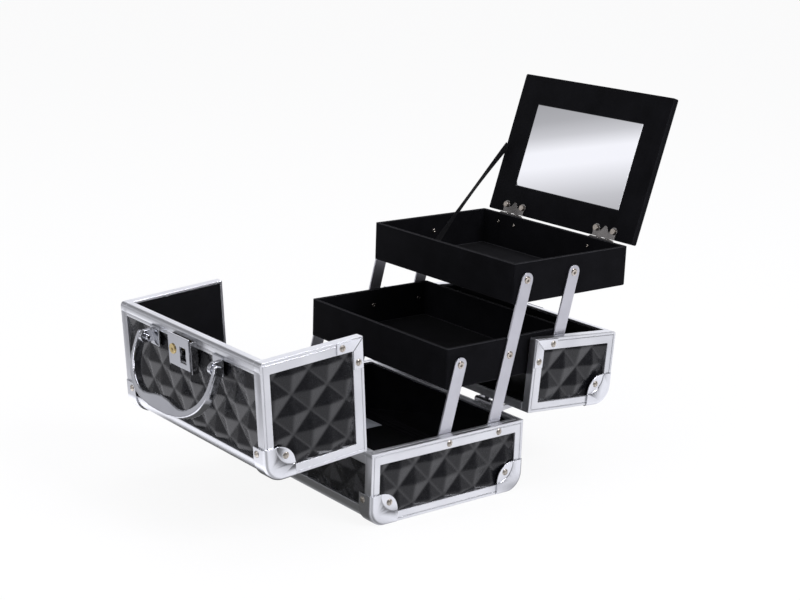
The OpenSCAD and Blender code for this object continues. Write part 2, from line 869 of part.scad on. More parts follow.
// Handle, drawn flat: x across, y away from its pivots
module handle_outline() {
    shoulder = 4;
    power = 2 / 2.6;
    steps = 36;
    arc = [for (i = [0:steps]) 180 * i / steps];
    inner_half = handle_half - band_t;
    inner_reach = handle_reach - band_t - 1.5;
    difference() {
        polygon(concat([[handle_half - 1, -handle_pin_r - 0.8]],
            [for (t = arc) [handle_half * sign(cos(t)) * pow(abs(cos(t)), power),
                shoulder + (handle_reach - shoulder) * pow(sin(t), power)]],
            [[-handle_half + 1, -handle_pin_r - 0.8]]));
        polygon(concat([[inner_half - 1, -handle_pin_r - 2]],
            [for (t = arc)
                let (x = inner_half * sign(cos(t)) * pow(abs(cos(t)), power))
                [x, shoulder + (inner_reach - shoulder) * pow(sin(t), power)
                    - (grip_t - band_t - 1.5) * pow(cos(min(90, abs(x) * 2.6)), 2)]],
            [[-inner_half + 1, -handle_pin_r - 2]]));
    }
}

module handle() {
    color("gainsboro") swing_front() translate([0, 0, top_z + handle_pivot_h])
        rotate([-handle_rest, 0, 0]) rotate([0, 0, 180]) {
            translate([0, 0, -band_w / 2]) linear_extrude(band_w) handle_outline();
            both_sides() translate([handle_half - band_t / 2 - stud_len, 0, 0])
                rotate([0, 90, 0]) cylinder(r = handle_pin_r, h = stud_len);
        }
}

module handle_brackets() {
    lug_x = handle_half - band_t - lug_gap - lug_t;
    plate = bracket_size;
    lug_r = handle_pivot_h - plate[2] - 0.6;
    color("gainsboro") swing_front() both_sides() difference() {
        union() {
            translate([lug_x + lug_t - plate[0], -plate[1] / 2, top_z]) cube(plate);
            translate([lug_x, 0, top_z]) rotate([90, 0, 90]) linear_extrude(lug_t) {
                translate([-lug_r, 0]) square([2 * lug_r, handle_pivot_h]);
                translate([0, handle_pivot_h]) circle(lug_r);
            }
        }
        translate([lug_x - 1, 0, top_z + handle_pivot_h]) rotate([0, 90, 0])
            cylinder(r = handle_pin_r + pin_gap, h = lug_t + 2);
    }
}

// Lock, drawn with u across, v from its hinge end towards the split and w up from the lid
latch_pin_v = 3.5;
latch_pin_w = lock_h * 0.63;
cover_t = lock_t;

module at_lock() {
    translate([0, front_y + lock_y, top_z]) children();
}

module lock_case() {
    cheek_t = lock_t;
    color("gainsboro") swing_front() at_lock() difference() {
        union() {
            translate([-lock_w / 2, 0, 0]) cube([lock_w, lock_len, cheek_t]);
            both_sides() translate([lock_w / 2 - cheek_t, 0, 0])
                cube([cheek_t, lock_len, lock_h]);
            for (v = [lock_len * 0.45, lock_len * 0.68]) translate([lock_w * 0.18, v, 0])
                cylinder(r = 1.8, h = lock_h - 1.5);
        }
        translate([0, latch_pin_v, latch_pin_w]) rotate([0, 90, 0])
            cylinder(r = pin_r + pin_gap, h = lock_w + 2, center = true);
    }
}

module latch_pin() {
    color("gray") swing_front() at_lock() translate([0, latch_pin_v, latch_pin_w])
        rotate([0, 90, 0]) cylinder(r = pin_r, h = lock_w, center = true);
}

module latch_lever() {
    lever_w = lock_w - 3.4;
    window = [lever_w * 0.3, lock_len * 0.66];
    lug_t = 2.4;
    color("gainsboro") swing_front() at_lock() difference() {
        union() {
            translate([-lever_w / 2, 2.2, lock_h]) cube([lever_w, lock_len - 0.2, cover_t]);
            translate([-lever_w / 4, lock_len - 2.6, 3]) cube([lever_w / 2, cover_t, lock_h - 3]);
            both_sides() translate([lever_w / 2 - lug_t, latch_pin_v, latch_pin_w])
                rotate([90, 0, 90]) linear_extrude(lug_t) {
                    circle(2.2);
                    translate([-1.3, 0]) square([3.5, lock_h - latch_pin_w + 0.1]);
                }
        }
        translate([0, latch_pin_v, latch_pin_w]) rotate([0, 90, 0])
            cylinder(r = pin_r + pin_gap, h = lock_w + 2, center = true);
        translate([1.5, 6.5, 0]) cube([window[0], window[1] - 4, 2 * lock_h]);
        translate([-lock_w / 4, lock_len * 0.6, 0]) cylinder(r = cylinder_r + pin_gap, h = 20);
    }
}

module lock_cylinder() {
    color("goldenrod") swing_front() at_lock()
        translate([-lock_w / 4, lock_len * 0.6, 0]) difference() {
            union() {
                translate([0, 0, lock_h - 2]) cylinder(r = cylinder_r, h = cover_t + 2.8);
                translate([-1.2, -cylinder_r + 0.6, lock_h - 3.4])
                    cube([2.4, cylinder_r + 1.4, 1.5]);
            }
            translate([0, 0, lock_h - 0.6]) cylinder(r = 0.9, h = 8);
            translate([-0.4, -2.4, lock_h - 0.6]) cube([0.8, 2.4, 8]);
        }
}

// Hasp, drawn at its pin: v towards the rear and w up from the rear lid, as it engages
hasp_pin_v = front_lid_d + split_gap - lock_y + hasp_in;
hasp_knuckle_r = hasp_pin_h - 0.4;
hasp_pin_r = 0.7;

module at_hasp() {
    swing_rear() at_lock() translate([0, hasp_pin_v, hasp_pin_h]) children();
}

module hasp_plate() {
    size = hasp_plate_size;
    knuckle_in = hasp_w / 2 + 0.3;
    color("gainsboro") at_hasp() {
        translate([-size[0] / 2, hasp_knuckle_r + 0.3, -hasp_pin_h]) cube(size);
        both_sides() difference() {
            translate([knuckle_in, 0, 0]) rotate([90, 0, 90])
                linear_extrude(size[0] / 2 - knuckle_in) {
                    circle(hasp_knuckle_r);
                    translate([0, -hasp_pin_h]) square([hasp_knuckle_r + 1, size[2]]);
                    translate([0, -hasp_pin_h]) square([hasp_knuckle_r, hasp_pin_h]);
                }
            rotate([0, 90, 0]) cylinder(r = hasp_pin_r, h = size[0] + 2, center = true);
        }
        for (x = [-1, 1]) translate([x * (size[0] / 2 - 1.5), size[1] * 0.7,
            size[2] - hasp_pin_h]) screw_head(1.2, 0.6);
    }
}

module hasp_pin() {
    color("gray") at_hasp() rotate([0, 90, 0])
        cylinder(r = hasp_pin_r, h = hasp_plate_size[0] + 0.6, center = true);
}

module hasp_tongue() {
    under = -0.5;
    color("gainsboro") at_hasp() rotate([-hasp_open, 0, 0]) difference() {
        translate([-hasp_w / 2, 0, 0]) rotate([90, 0, 90]) linear_extrude(hasp_w) {
            circle(hasp_knuckle_r);
            translate([-hasp_len, under]) square([hasp_len, lock_t]);
            translate([-hasp_len, under]) square([lock_t, 3.3 - under]);
        }
        rotate([0, 90, 0]) cylinder(r = hasp_pin_r + pin_gap, h = 2 * hasp_w, center = true);
        translate([0, -hasp_len * 0.45, under - 1]) cylinder(r = hasp_w / 6, h = 3);
    }
}

// Trays

module tray(at) {
    inner = [tray_w - 2 * tray_wall, tray_d - 2 * tray_wall];
    translate([0, at[0] + tray_d / 2, at[1]]) difference() {
        intersection() {
            linear_extrude(tray_h) rounded_rectangle([tray_w, tray_d], tray_round);
            along_x(tray_w) rounded_bottom(-tray_d / 2, tray_d / 2, 0, tray_h, tray_belly);
        }
        translate([0, 0, tray_floor]) linear_extrude(tray_h)
            rounded_rectangle(inner, tray_round);
    }
}

module rounded_rectangle(size, r) {
    square([size[0] - 2 * r, size[1]], center = true);
    square([size[0], size[1] - 2 * r], center = true);
    for (x = [-1, 1], y = [-1, 1])
        translate([x * (size[0] / 2 - r), y * (size[1] / 2 - r)]) circle(r);
}

// Holes through both side walls at a pivot
module wall_holes(pivots) {
    for (pivot = pivots) translate([0, pivot[0], pivot[1]]) rotate([0, 90, 0])
        cylinder(r = rivet_r, h = through, center = true);
}

// Rivets through a tray's walls and the arms outside them
module tray_rivets(pivots) {
    inner_x = tray_w / 2 - tray_wall;
    head_x = arm_x + arm_t + 0.05;
    both_sides() for (pivot = pivots) translate([0, pivot[0], pivot[1]]) {
        translate([inner_x, 0, 0]) rotate([0, -90, 0]) screw_head(rivet_head_r, 0.9);
        translate([inner_x, 0, 0]) rotate([0, 90, 0])
            cylinder(r = rivet_r, h = head_x - inner_x);
        translate([head_x, 0, 0]) rotate([0, 90, 0]) cylinder(r = rivet_head_r, h = rivet_head_t);
    }
}

module lower_tray() {
    color([0.06, 0.06, 0.07]) difference() {
        tray(lower_tray_at);
        wall_holes([pivot_l1, pivot_l2, pivot_l3]);
    }
}

module lower_tray_rivets() {
    color("silver") tray_rivets([pivot_l1, pivot_l2, pivot_l3]);
}

// Places of the mirror hinges' rivets in the tray's rear wall
module tray_hinge_rivets(r) {
    for (side = [-1, 1], x = [-1, 1]) translate([side * mirror_hinge_x
        + x * mirror_rivet_step / 2, tray_rear_y, tray_top_z - mirror_rivet_drop])
        rotate([90, 0, 0]) cylinder(r = r, h = 3 * tray_wall, center = true);
}

module upper_tray() {
    color([0.06, 0.06, 0.07]) difference() {
        tray(upper_tray_at);
        wall_holes([pivot_u1, pivot_u2]);
        tray_hinge_rivets(1);
    }
}

module upper_tray_rivets() {
    color("silver") tray_rivets([pivot_u1, pivot_u2]);
}

// Arms

// Flat arm with a number of pivots, drawn upright from its first one
module arm_strip(pivots, clearance) {
    difference() {
        union() {
            translate([-arm_w / 2, 0]) square([arm_w, (pivots - 1) * arm_len]);
            for (i = [0, pivots - 1]) translate([0, i * arm_len]) circle(arm_w / 2);
        }
        for (i = [0:pivots - 1]) translate([0, i * arm_len])
            circle(rivet_r + (i == clearance ? open_pivot_gap : pin_gap));
    }
}

module arm_pair(foot, pivots, clearance) {
    both_sides() translate([arm_x, foot[0], foot[1]]) rotate([90, 0, 90])
        linear_extrude(arm_t) rotate(-arm_lean) arm_strip(pivots, clearance);
}

module short_arms() {
    color("lightgray") arm_pair(pivot_b1, 2, 1);
}

module long_arms() {
    color("lightgray") arm_pair(pivot_b2, 3, -1);
}

module rear_arms() {
    color("lightgray") arm_pair(pivot_l3, 2, 1);
}

// Mirror hinges, drawn at the tray's rear wall: o outward, h up from the pin
module mirror_slice(x0, x1) {
    translate([x0, mirror_pin[0] - mirror_pin_out, mirror_pin[1]]) rotate([90, 0, 90])
        linear_extrude(x1 - x0) children();
}

module mirror_pair() {
    for (side = [-1, 1]) translate([side * mirror_hinge_x, 0, 0]) children();
}

module mirror_pin_hole() {
    translate([0, mirror_pin[0], mirror_pin[1]]) rotate([0, 90, 0])
        cylinder(r = mirror_pin_r + pin_gap, h = 2 * mirror_hinge_w, center = true);
}

mirror_knuckle_w = mirror_hinge_w / 5;

module mirror_hinge_tray_leaves() {
    leaf_drop = mirror_rivet_drop + 3;
    color("gray") mirror_pair() difference() {
        union() {
            mirror_slice(-mirror_hinge_w / 2, mirror_hinge_w / 2)
                translate([0, -leaf_drop]) square([mirror_leaf_t,
                    leaf_drop - mirror_knuckle_r - 0.6]);
            for (i = [0, 2, 4]) mirror_slice((i - 2.5) * mirror_knuckle_w + 0.1,
                (i - 1.5) * mirror_knuckle_w - 0.1) {
                translate([mirror_pin_out, 0]) circle(mirror_knuckle_r);
                polygon([[0, -leaf_drop / 2], [0, -mirror_knuckle_r],
                    [mirror_pin_out - mirror_knuckle_r, 0],
                    [mirror_pin_out, -mirror_knuckle_r],
                    [mirror_leaf_t, -mirror_knuckle_r - 1.6]]);
            }
        }
        mirror_pin_hole();
        translate([-mirror_hinge_x, 0, 0]) tray_hinge_rivets(1);
        translate([mirror_hinge_x, 0, 0]) tray_hinge_rivets(1);
    }
}

module mirror_hinge_pins() {
    color("gray") mirror_pair() translate([0, mirror_pin[0], mirror_pin[1]])
        rotate([0, 90, 0]) {
            cylinder(r = mirror_pin_r, h = mirror_hinge_w + 0.2, center = true);
            for (end = [0, 1]) mirror([0, 0, end]) translate([0, 0, mirror_hinge_w / 2 + 0.1])
                cylinder(r = mirror_knuckle_r * 0.8, h = 0.6);
        }
}

module mirror_hinge_rivets() {
    inner_y = tray_rear_y - tray_wall;
    color("silver") mirror_pair() for (x = [-1, 1])
        translate([x * mirror_rivet_step / 2, 0, tray_top_z - mirror_rivet_drop]) {
            translate([0, inner_y, 0]) rotate([90, 0, 0]) screw_head(1.9, 0.9);
            translate([0, inner_y, 0]) rotate([-90, 0, 0])
                cylinder(r = 1, h = tray_wall + mirror_leaf_t);
            translate([0, tray_rear_y + mirror_leaf_t, 0]) rotate([-90, 0, 0])
                screw_head(1.9, 0.5);
        }
}

// Butterfly leaf, drawn as (across, inward from the tray's rear face)
module butterfly() {
    eye_r = 3.8;
    half = mirror_hinge_w / 2;
    for (x = [-1, 1]) translate([x * mirror_rivet_step / 2, mirror_eye_in]) circle(eye_r);
    polygon([[-half, 0], [half, 0], [half, 3], [mirror_rivet_step / 2 + eye_r * 0.95,
        mirror_eye_in], [mirror_rivet_step / 2 - eye_r * 0.9, mirror_eye_in], [4.6, 5],
        [1, mirror_eye_in + 3.4], [-1, mirror_eye_in + 3.4], [-4.6, 5],
        [-mirror_rivet_step / 2 + eye_r * 0.9, mirror_eye_in],
        [-mirror_rivet_step / 2 - eye_r * 0.95, mirror_eye_in], [-half, 3]]);
}

module mirror_hinge_lid_leaves() {
    leaf_z = tray_top_z + mirror_gap - mirror_leaf_t;
    color("gainsboro") swing_mirror() mirror_pair() difference() {
        union() {
            translate([0, tray_rear_y, leaf_z]) mirror([0, 1, 0])
                linear_extrude(mirror_leaf_t) butterfly();
            for (i = [1, 3]) mirror_slice((i - 2.5) * mirror_knuckle_w + 0.1,
                (i - 1.5) * mirror_knuckle_w - 0.1) {
                translate([mirror_pin_out, 0]) circle(mirror_knuckle_r);
                polygon([[-0.5, leaf_z - mirror_pin[1]],
                    [-0.5, leaf_z - mirror_pin[1] + mirror_leaf_t],
                    [mirror_pin_out, leaf_z - mirror_pin[1] + mirror_leaf_t],
                    [mirror_pin_out + mirror_knuckle_r, 0.2],
                    [mirror_pin_out - mirror_knuckle_r + 0.4, leaf_z - mirror_pin[1]]]);
            }
        }
        mirror_pin_hole();
    }
}

module mirror_lid_rivets() {
    color("silver") swing_mirror() mirror_pair() for (x = [-1, 1])
        translate([x * mirror_rivet_step / 2, tray_rear_y - mirror_eye_in,
            tray_top_z + mirror_gap - mirror_leaf_t]) rotate([180, 0, 0])
            screw_head(2.2, 0.9);
}

module mirror_board() {
    glass_at = [tray_rear_y - tray_d / 2, tray_top_z + mirror_gap];
    color([0.05, 0.05, 0.06]) swing_mirror() difference() {
        translate([0, glass_at[0], glass_at[1]]) linear_extrude(mirror_lid_t)
            rounded_rectangle([tray_w, tray_d], tray_round);
        translate([-glass_w / 2, glass_at[0] - glass_h / 2, glass_at[1] - 1])
            cube([glass_w, glass_h, 1 + glass_inset + glass_t]);
    }
}

module mirror_glass() {
    color("lightblue") swing_mirror()
        translate([-glass_w / 2, tray_rear_y - tray_d / 2 - glass_h / 2,
            tray_top_z + mirror_gap + glass_inset]) cube([glass_w, glass_h, glass_t]);
}

// Ribbon from the tray's left wall to the mirror lid's left edge
module ribbon_stay() {
    low = [upper_tray_at[0] + ribbon_low[0], upper_tray_at[1] + ribbon_low[1]];
    hold = tray_rear_y + (ribbon_high - mirror_pin_out) * sin(mirror_open - 90) + 5.2;
    top = [hold, tray_top_z + ribbon_high * cos(mirror_open - 90)];
    run = top - low;
    wall_x = tray_w / 2 - tray_wall - 0.05;
    side_x = wall_x - ribbon_t;
    color([0.08, 0.08, 0.09]) translate([-wall_x, low[0], low[1]])
        rotate([90, 0, 90]) linear_extrude(ribbon_t)
            rotate(atan2(run[1], run[0])) translate([0, -ribbon_w / 2])
                square([norm(run) - 4, ribbon_w]);
}

// Clear pouch with the two keys of the lock, lying on the base's floor
pouch_floor = wall_t;
pouch_film = 0.4;

module at_pouch() {
    translate([-case_w / 2 + wall_t + pouch_at[0], -front_y - wall_t - pouch_at[1],
        pouch_floor]) rotate(8) children();
}

module key_pouch() {
    color([0.8, 0.85, 0.9, 0.4]) at_pouch() difference() {
        translate([-pouch_size[0] / 2, -pouch_size[1] / 2, 0])
            cube([pouch_size[0], pouch_size[1], pouch_size[2]]);
        translate([-pouch_size[0] / 2 + 1, -pouch_size[1] / 2 + 1, pouch_film])
            cube([pouch_size[0] - 2, pouch_size[1] - 2, pouch_size[2] - 2 * pouch_film]);
    }
}

module key_blank() {
    linear_extrude(1.2) {
        difference() {
            circle(4.2);
            translate([-1.6, 0]) circle(1.2);
        }
        translate([3.6, -1.1]) square([9.5, 2.2]);
        for (x = [8.2, 10.2]) translate([x, -2.2]) square([1.2, 1.3]);
    }
}

module keys() {
    color("lightgray") at_pouch() translate([0, 0, pouch_film]) {
        translate([-4.8, -5, 0]) rotate(90) key_blank();
        translate([4.8, 5, 0]) rotate(-90) key_blank();
    }
}

base_board();
base_panels();
base_bottom_panel();
base_lining();
base_end_frames();
base_rails();
base_ball_corners();
base_screws();
front_hinge_base_leaves();
front_hinge_pins();
rear_hinge_base_leaves();
base_pivot_screws();
key_pouch();
keys();
rear_hinge_pins();
front_lid_board();
front_lid_panels();
front_lid_lining();
front_lid_end_frames();
front_lid_rails();
front_lid_ball_corners();
front_lid_mitre_plates();
front_lid_screws();
front_hinge_lid_leaves();
handle_brackets();
lock_case();
handle();
latch_lever();
latch_pin();
lock_cylinder();
rear_lid_board();
rear_lid_panels();
rear_lid_lining();
rear_lid_end_frames();
rear_lid_rails();
rear_lid_ball_corners();
rear_lid_mitre_plates();
rear_lid_screws();
rear_hinge_lid_leaves();
hasp_plate();
hasp_pin();
hasp_tongue();
short_arms();
long_arms();
rear_arms();
lower_tray();
lower_tray_rivets();
upper_tray();
upper_tray_rivets();
mirror_hinge_tray_leaves();
mirror_hinge_pins();
mirror_hinge_rivets();
ribbon_stay();
mirror_board();
mirror_glass();
mirror_hinge_lid_leaves();
mirror_lid_rivets();
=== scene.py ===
"""A vanity box with a mirror lid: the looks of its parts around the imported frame."""
from __future__ import annotations

import json
import logging
import math
from dataclasses import dataclass
from enum import Enum
from typing import Any, Optional, Sequence

import bmesh
import bpy
import numpy as np
from mathutils import Matrix, Vector

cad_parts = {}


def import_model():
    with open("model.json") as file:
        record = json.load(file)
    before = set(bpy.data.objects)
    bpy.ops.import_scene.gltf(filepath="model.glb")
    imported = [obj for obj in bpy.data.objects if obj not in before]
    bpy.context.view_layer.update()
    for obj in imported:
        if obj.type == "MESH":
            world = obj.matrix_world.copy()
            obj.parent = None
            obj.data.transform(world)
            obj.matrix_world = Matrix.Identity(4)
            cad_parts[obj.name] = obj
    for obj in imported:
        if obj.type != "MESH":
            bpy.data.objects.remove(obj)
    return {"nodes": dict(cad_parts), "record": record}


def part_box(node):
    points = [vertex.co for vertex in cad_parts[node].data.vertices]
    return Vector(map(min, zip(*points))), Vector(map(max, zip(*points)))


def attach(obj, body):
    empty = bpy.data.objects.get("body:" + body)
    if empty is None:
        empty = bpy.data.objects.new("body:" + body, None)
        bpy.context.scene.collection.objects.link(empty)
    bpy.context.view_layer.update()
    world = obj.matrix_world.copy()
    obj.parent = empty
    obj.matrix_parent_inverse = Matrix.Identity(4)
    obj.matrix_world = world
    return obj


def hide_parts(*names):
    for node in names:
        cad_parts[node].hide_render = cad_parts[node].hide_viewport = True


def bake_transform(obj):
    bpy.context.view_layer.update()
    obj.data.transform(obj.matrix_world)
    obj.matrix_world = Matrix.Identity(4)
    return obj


LOG = logging.getLogger("vanity_box")
MM = 0.001
MERGE = 2e-6
FLAT_ANGLE = math.radians(0.7)
WORN_COSINES = (0.995, 0.82)
EDGE_DEGREES = 32.0
CASE_WIDTH = 200 * MM
CASE_DEPTH = 153 * MM
BASE_HEIGHT = 59 * MM
LID_HEIGHT = 90.5 * MM
FRONT_LID_DEPTH = 91 * MM
SEAM = 0.6 * MM
HINGE_REACH = 4.2 * MM
FRONT_Y = -CASE_DEPTH / 2
LID_Z = BASE_HEIGHT + SEAM
TOP_Z = LID_Z + LID_HEIGHT
HINGE_Z = BASE_HEIGHT + SEAM / 2
CORNER_ROUND = 14.6 * MM
STRIP = 8.1 * MM
RIM = 9.6 * MM
FRAME_DEPTH = 4 * MM
FRAME_EDGE = 0.6 * MM
LEAF_EDGE = 0.2 * MM


# Materials


class Graph:
    """Builds a node tree with short calls."""

    def __init__(self, tree: bpy.types.NodeTree) -> None:
        """Takes the tree to build in.

        Args:
            tree: An empty node tree.
        """
        self.tree = tree

    def add(self, kind: str, inputs: Optional[dict[Any, Any]] = None, **settings: Any) -> Any:
        """Adds a node.

        Args:
            kind: The node's type name.
            inputs: Values or sockets for its inputs, by name or number.
            settings: Properties of the node itself.

        Returns:
            The new node.
        """
        node = self.tree.nodes.new(kind)
        for name, value in settings.items():
            setattr(node, name, value)
        for name, value in (inputs or {}).items():
            if isinstance(value, bpy.types.NodeSocket):
                self.tree.links.new(value, node.inputs[name])
            else:
                node.inputs[name].default_value = value
        return node

    def math(self, operation: str, a: Any, b: Any = 0.0) -> Any:
        """Returns the result of a sum on one or two values."""
        return self.add("ShaderNodeMath", {0: a, 1: b}, operation=operation).outputs[0]

    def times(self, a: Any, b: Any) -> Any:
        """Returns the product of two values."""
        return self.math("MULTIPLY", a, b)

    def plus(self, a: Any, b: Any) -> Any:
        """Returns the sum of two values."""
        return self.math("ADD", a, b)

    def minus(self, a: Any, b: Any) -> Any:
        """Returns the first value less the second."""
        return self.math("SUBTRACT", a, b)

    def seen(self, rays: Any) -> Any:
        """Returns 1 for rays that come from the camera, straight or through glass."""
        return self.math("MAXIMUM", rays.outputs["Is Camera Ray"],
                         rays.outputs["Is Transmission Ray"])

    def dot(self, a: Any, b: Any) -> Any:
        """Returns the dot product of two vectors."""
        return self.add("ShaderNodeVectorMath", {0: a, 1: b},
                        operation="DOT_PRODUCT").outputs["Value"]

    def span(self, value: Any, low: float, high: float, to_low: Any, to_high: Any) -> Any:
        """Maps a value's range onto another, clamped at both ends.

        Args:
            value: The socket to map.
            low: Lower end of the value's range.
            high: Upper end of the value's range.
            to_low: Result at the lower end.
            to_high: Result at the upper end.

        Returns:
            The socket with the mapped value.
        """
        return self.add("ShaderNodeMapRange", {
            "Value": value, "From Min": low, "From Max": high, "To Min": to_low,
            "To Max": to_high}).outputs["Result"]

    def profile(self, value: Any, points: Sequence[tuple[float, float]]) -> Any:
        """Maps a value through straight pieces between points, level outside them.

        Args:
            value: The socket to map.
            points: Pairs of value and result, in rising order of value.

        Returns:
            The socket with the result.
        """
        level: Any = points[0][1]
        for (low, start), (high, end) in zip(points, points[1:]):
            level = self.plus(level, self.span(value, low, high, 0.0, end - start))
        return level


class ShaderGraph(Graph):
    """The nodes of one material."""

    def __init__(self, name: str) -> None:
        """Starts an empty material.

        Args:
            name: The material's name.
        """
        self.material = bpy.data.materials.new(name)
        self.material.use_nodes = True
        super().__init__(self.material.node_tree)
        self.tree.nodes.clear()
        self.output = self.tree.nodes.new("ShaderNodeOutputMaterial")
        self.place = self.tree.nodes.new("ShaderNodeTexCoord").outputs["Object"]

    def noise(self, scale: float, detail: float = 2.0,
              stretch: Sequence[float] = (1, 1, 1)) -> Any:
        """Returns a noise value.

        Args:
            scale: Cells in a metre.
            detail: Octaves of the noise.
            stretch: Stretch along the three axes.

        Returns:
            The socket with the value from 0 to 1.
        """
        where = self.add("ShaderNodeMapping", {"Vector": self.place, "Scale": stretch})
        return self.add("ShaderNodeTexNoise", {
            "Vector": where.outputs[0], "Scale": scale, "Detail": detail}).outputs["Fac"]

    def glow(self, strength: float) -> Any:
        """Returns a shader that gives off white light."""
        return self.add("ShaderNodeEmission", {
            "Color": (1, 1, 1, 1), "Strength": strength}).outputs[0]

    def between(self, factor: Any, low: Any, high: Any) -> Any:
        """Returns a mix of two shaders."""
        return self.add("ShaderNodeMixShader", {0: factor, 1: low, 2: high}).outputs[0]

    def cells(self, scale: float) -> Any:
        """Returns the distance to the nearest cell centre, for grain and pores."""
        return self.add("ShaderNodeTexVoronoi", {
            "Vector": self.place, "Scale": scale}).outputs["Distance"]

    def mix(self, factor: Any, low: Any, high: Any) -> Any:
        """Returns a colour between two colours."""
        return self.add("ShaderNodeMix", {0: factor, 6: low, 7: high},
                        data_type="RGBA").outputs[2]

    def rounded(self, radius: float) -> Any:
        """Returns a normal that is rounded at the edges."""
        return self.add("ShaderNodeBevel", {"Radius": radius}, samples=6).outputs[0]

    def worn(self, normal: Any) -> Any:
        """Returns a mask that grows to 1 at the edges where a rounded normal leaves the face."""
        own = self.add("ShaderNodeNewGeometry").outputs["Normal"]
        return self.span(self.dot(own, normal), *WORN_COSINES, 0.0, 1.0)

    def bump(self, height: Any, depth: float, strength: float = 1.0,
             normal: Any = None) -> Any:
        """Presses a height into the surface.

        Args:
            height: The socket with the height from 0 to 1.
            depth: Depth of the relief in metres.
            strength: Strength of the relief.
            normal: The normal below it, if there is one.

        Returns:
            The socket with the new normal.
        """
        inputs = {"Height": height, "Distance": depth, "Strength": strength}
        if normal is not None:
            inputs["Normal"] = normal
        return self.add("ShaderNodeBump", inputs).outputs[0]

    def finish(self, inputs: dict[str, Any]) -> bpy.types.Material:
        """Ends the tree in the main shader.

        Args:
            inputs: Values or sockets for the shader.

        Returns:
            The finished material.
        """
        shader = self.add("ShaderNodeBsdfPrincipled", inputs)
        self.tree.links.new(shader.outputs[0], self.output.inputs["Surface"])
        return self.material


Colour = tuple[float, float, float, float]


class Grain(Enum):
    """Direction in which a metal is brushed or drawn."""

    NONE = (1.0, 1.0, 1.0)
    ALONG_X = (0.03, 1.0, 1.0)
    ALONG_Y = (1.0, 0.03, 1.0)
    ALONG_Z = (1.0, 1.0, 0.03)


class Finish:
    """A finish that makes its material once."""

    made: dict[str, bpy.types.Material] = {}

    def build(self) -> bpy.types.Material:
        """Builds the material's nodes."""
        raise NotImplementedError

    def material(self) -> bpy.types.Material:
        """Returns the material, building it at its first use."""
        if self.name not in Finish.made:
            Finish.made[self.name] = self.build()
        return Finish.made[self.name]


@dataclass(frozen=True)
class Metal(Finish):
    """A plated, drawn or anodised metal with a fine grain and rubbed edges."""

    name: str
    colour: Colour
    dull: Colour
    roughness: tuple[float, float]
    grain: Grain = Grain.NONE
    grain_scale: float = 900.0
    grain_depth: float = 0.000006
    edge: float = 0.0005
    cloud_scale: float = 38.0

    def build(self) -> bpy.types.Material:
        """Builds the metal: clouds of tint, drawn lines, rubbed edges."""
        g = ShaderGraph(self.name)
        cloud = g.noise(self.cloud_scale, 4.0)
        lines = g.noise(self.grain_scale, 3.0, self.grain.value)
        edge = g.rounded(self.edge)
        tint = g.mix(g.span(cloud, 0.38, 0.66, 0.0, 0.55), self.colour, self.dull)
        bright = tuple(min(1.0, c * 1.12) for c in self.colour[:3]) + (1.0,)
        tint = g.mix(g.times(g.worn(edge), 0.5), tint, bright)
        both = g.plus(g.times(cloud, 0.6), g.times(lines, 0.4))
        rough = g.span(both, 0.3, 0.7, *self.roughness)
        return g.finish({
            "Base Color": tint, "Metallic": 1.0, "Roughness": rough,
            "Normal": g.bump(lines, self.grain_depth, 0.6, edge)})


@dataclass(frozen=True)
class PressedSkin(Finish):
    """Black satin plastic skin with a very fine leather grain."""

    name: str = "pressed_black_skin"
    colour: Colour = (0.0045, 0.0047, 0.006, 1.0)
    ridge: Colour = (0.013, 0.0135, 0.016, 1.0)
    ridge_round: float = 0.0011
    grain_scale: float = 1500.0

    def build(self) -> bpy.types.Material:
        """Builds the skin: grain, clouds of gloss and paler rubbed ridges."""
        g = ShaderGraph(self.name)
        pores = g.cells(self.grain_scale)
        cloud = g.noise(60.0, 3.0)
        edge = g.rounded(self.ridge_round)
        wear = g.times(g.worn(edge), g.span(cloud, 0.35, 0.7, 0.25, 0.9))
        return g.finish({
            "Base Color": g.mix(wear, self.colour, self.ridge),
            "Roughness": g.span(g.noise(180.0, 3.0), 0.3, 0.7, 0.22, 0.3),
            "Specular IOR Level": 0.62,
            "Normal": g.bump(pores, 0.00005, 0.35, edge)})


@dataclass(frozen=True)
class Flock(Finish):
    """Short black flock or velvet paper over board."""

    name: str
    colour: Colour = (0.0016, 0.0016, 0.0022, 1.0)
    pale: Colour = (0.0046, 0.0046, 0.006, 1.0)
    edge: float = 0.0006
    edge_pale: Colour = (0.05, 0.05, 0.055, 1.0)

    def build(self) -> bpy.types.Material:
        """Builds the pile: speckle, brushed clouds, a paler rubbed edge."""
        g = ShaderGraph(self.name)
        speck = g.noise(3800.0, 2.0)
        cloud = g.noise(55.0, 4.0)
        edge = g.rounded(self.edge)
        both = g.plus(g.times(speck, 0.5), g.times(cloud, 0.5))
        tint = g.mix(g.span(both, 0.35, 0.65, 0.0, 1.0), self.colour, self.pale)
        tint = g.mix(g.times(g.worn(edge), 0.7), tint, self.edge_pale)
        return g.finish({
            "Base Color": tint, "Roughness": 0.95, "Specular IOR Level": 0.08,
            "Sheen Weight": 0.02, "Sheen Roughness": 0.5,
            "Normal": g.bump(speck, 0.00015, 0.5, edge)})


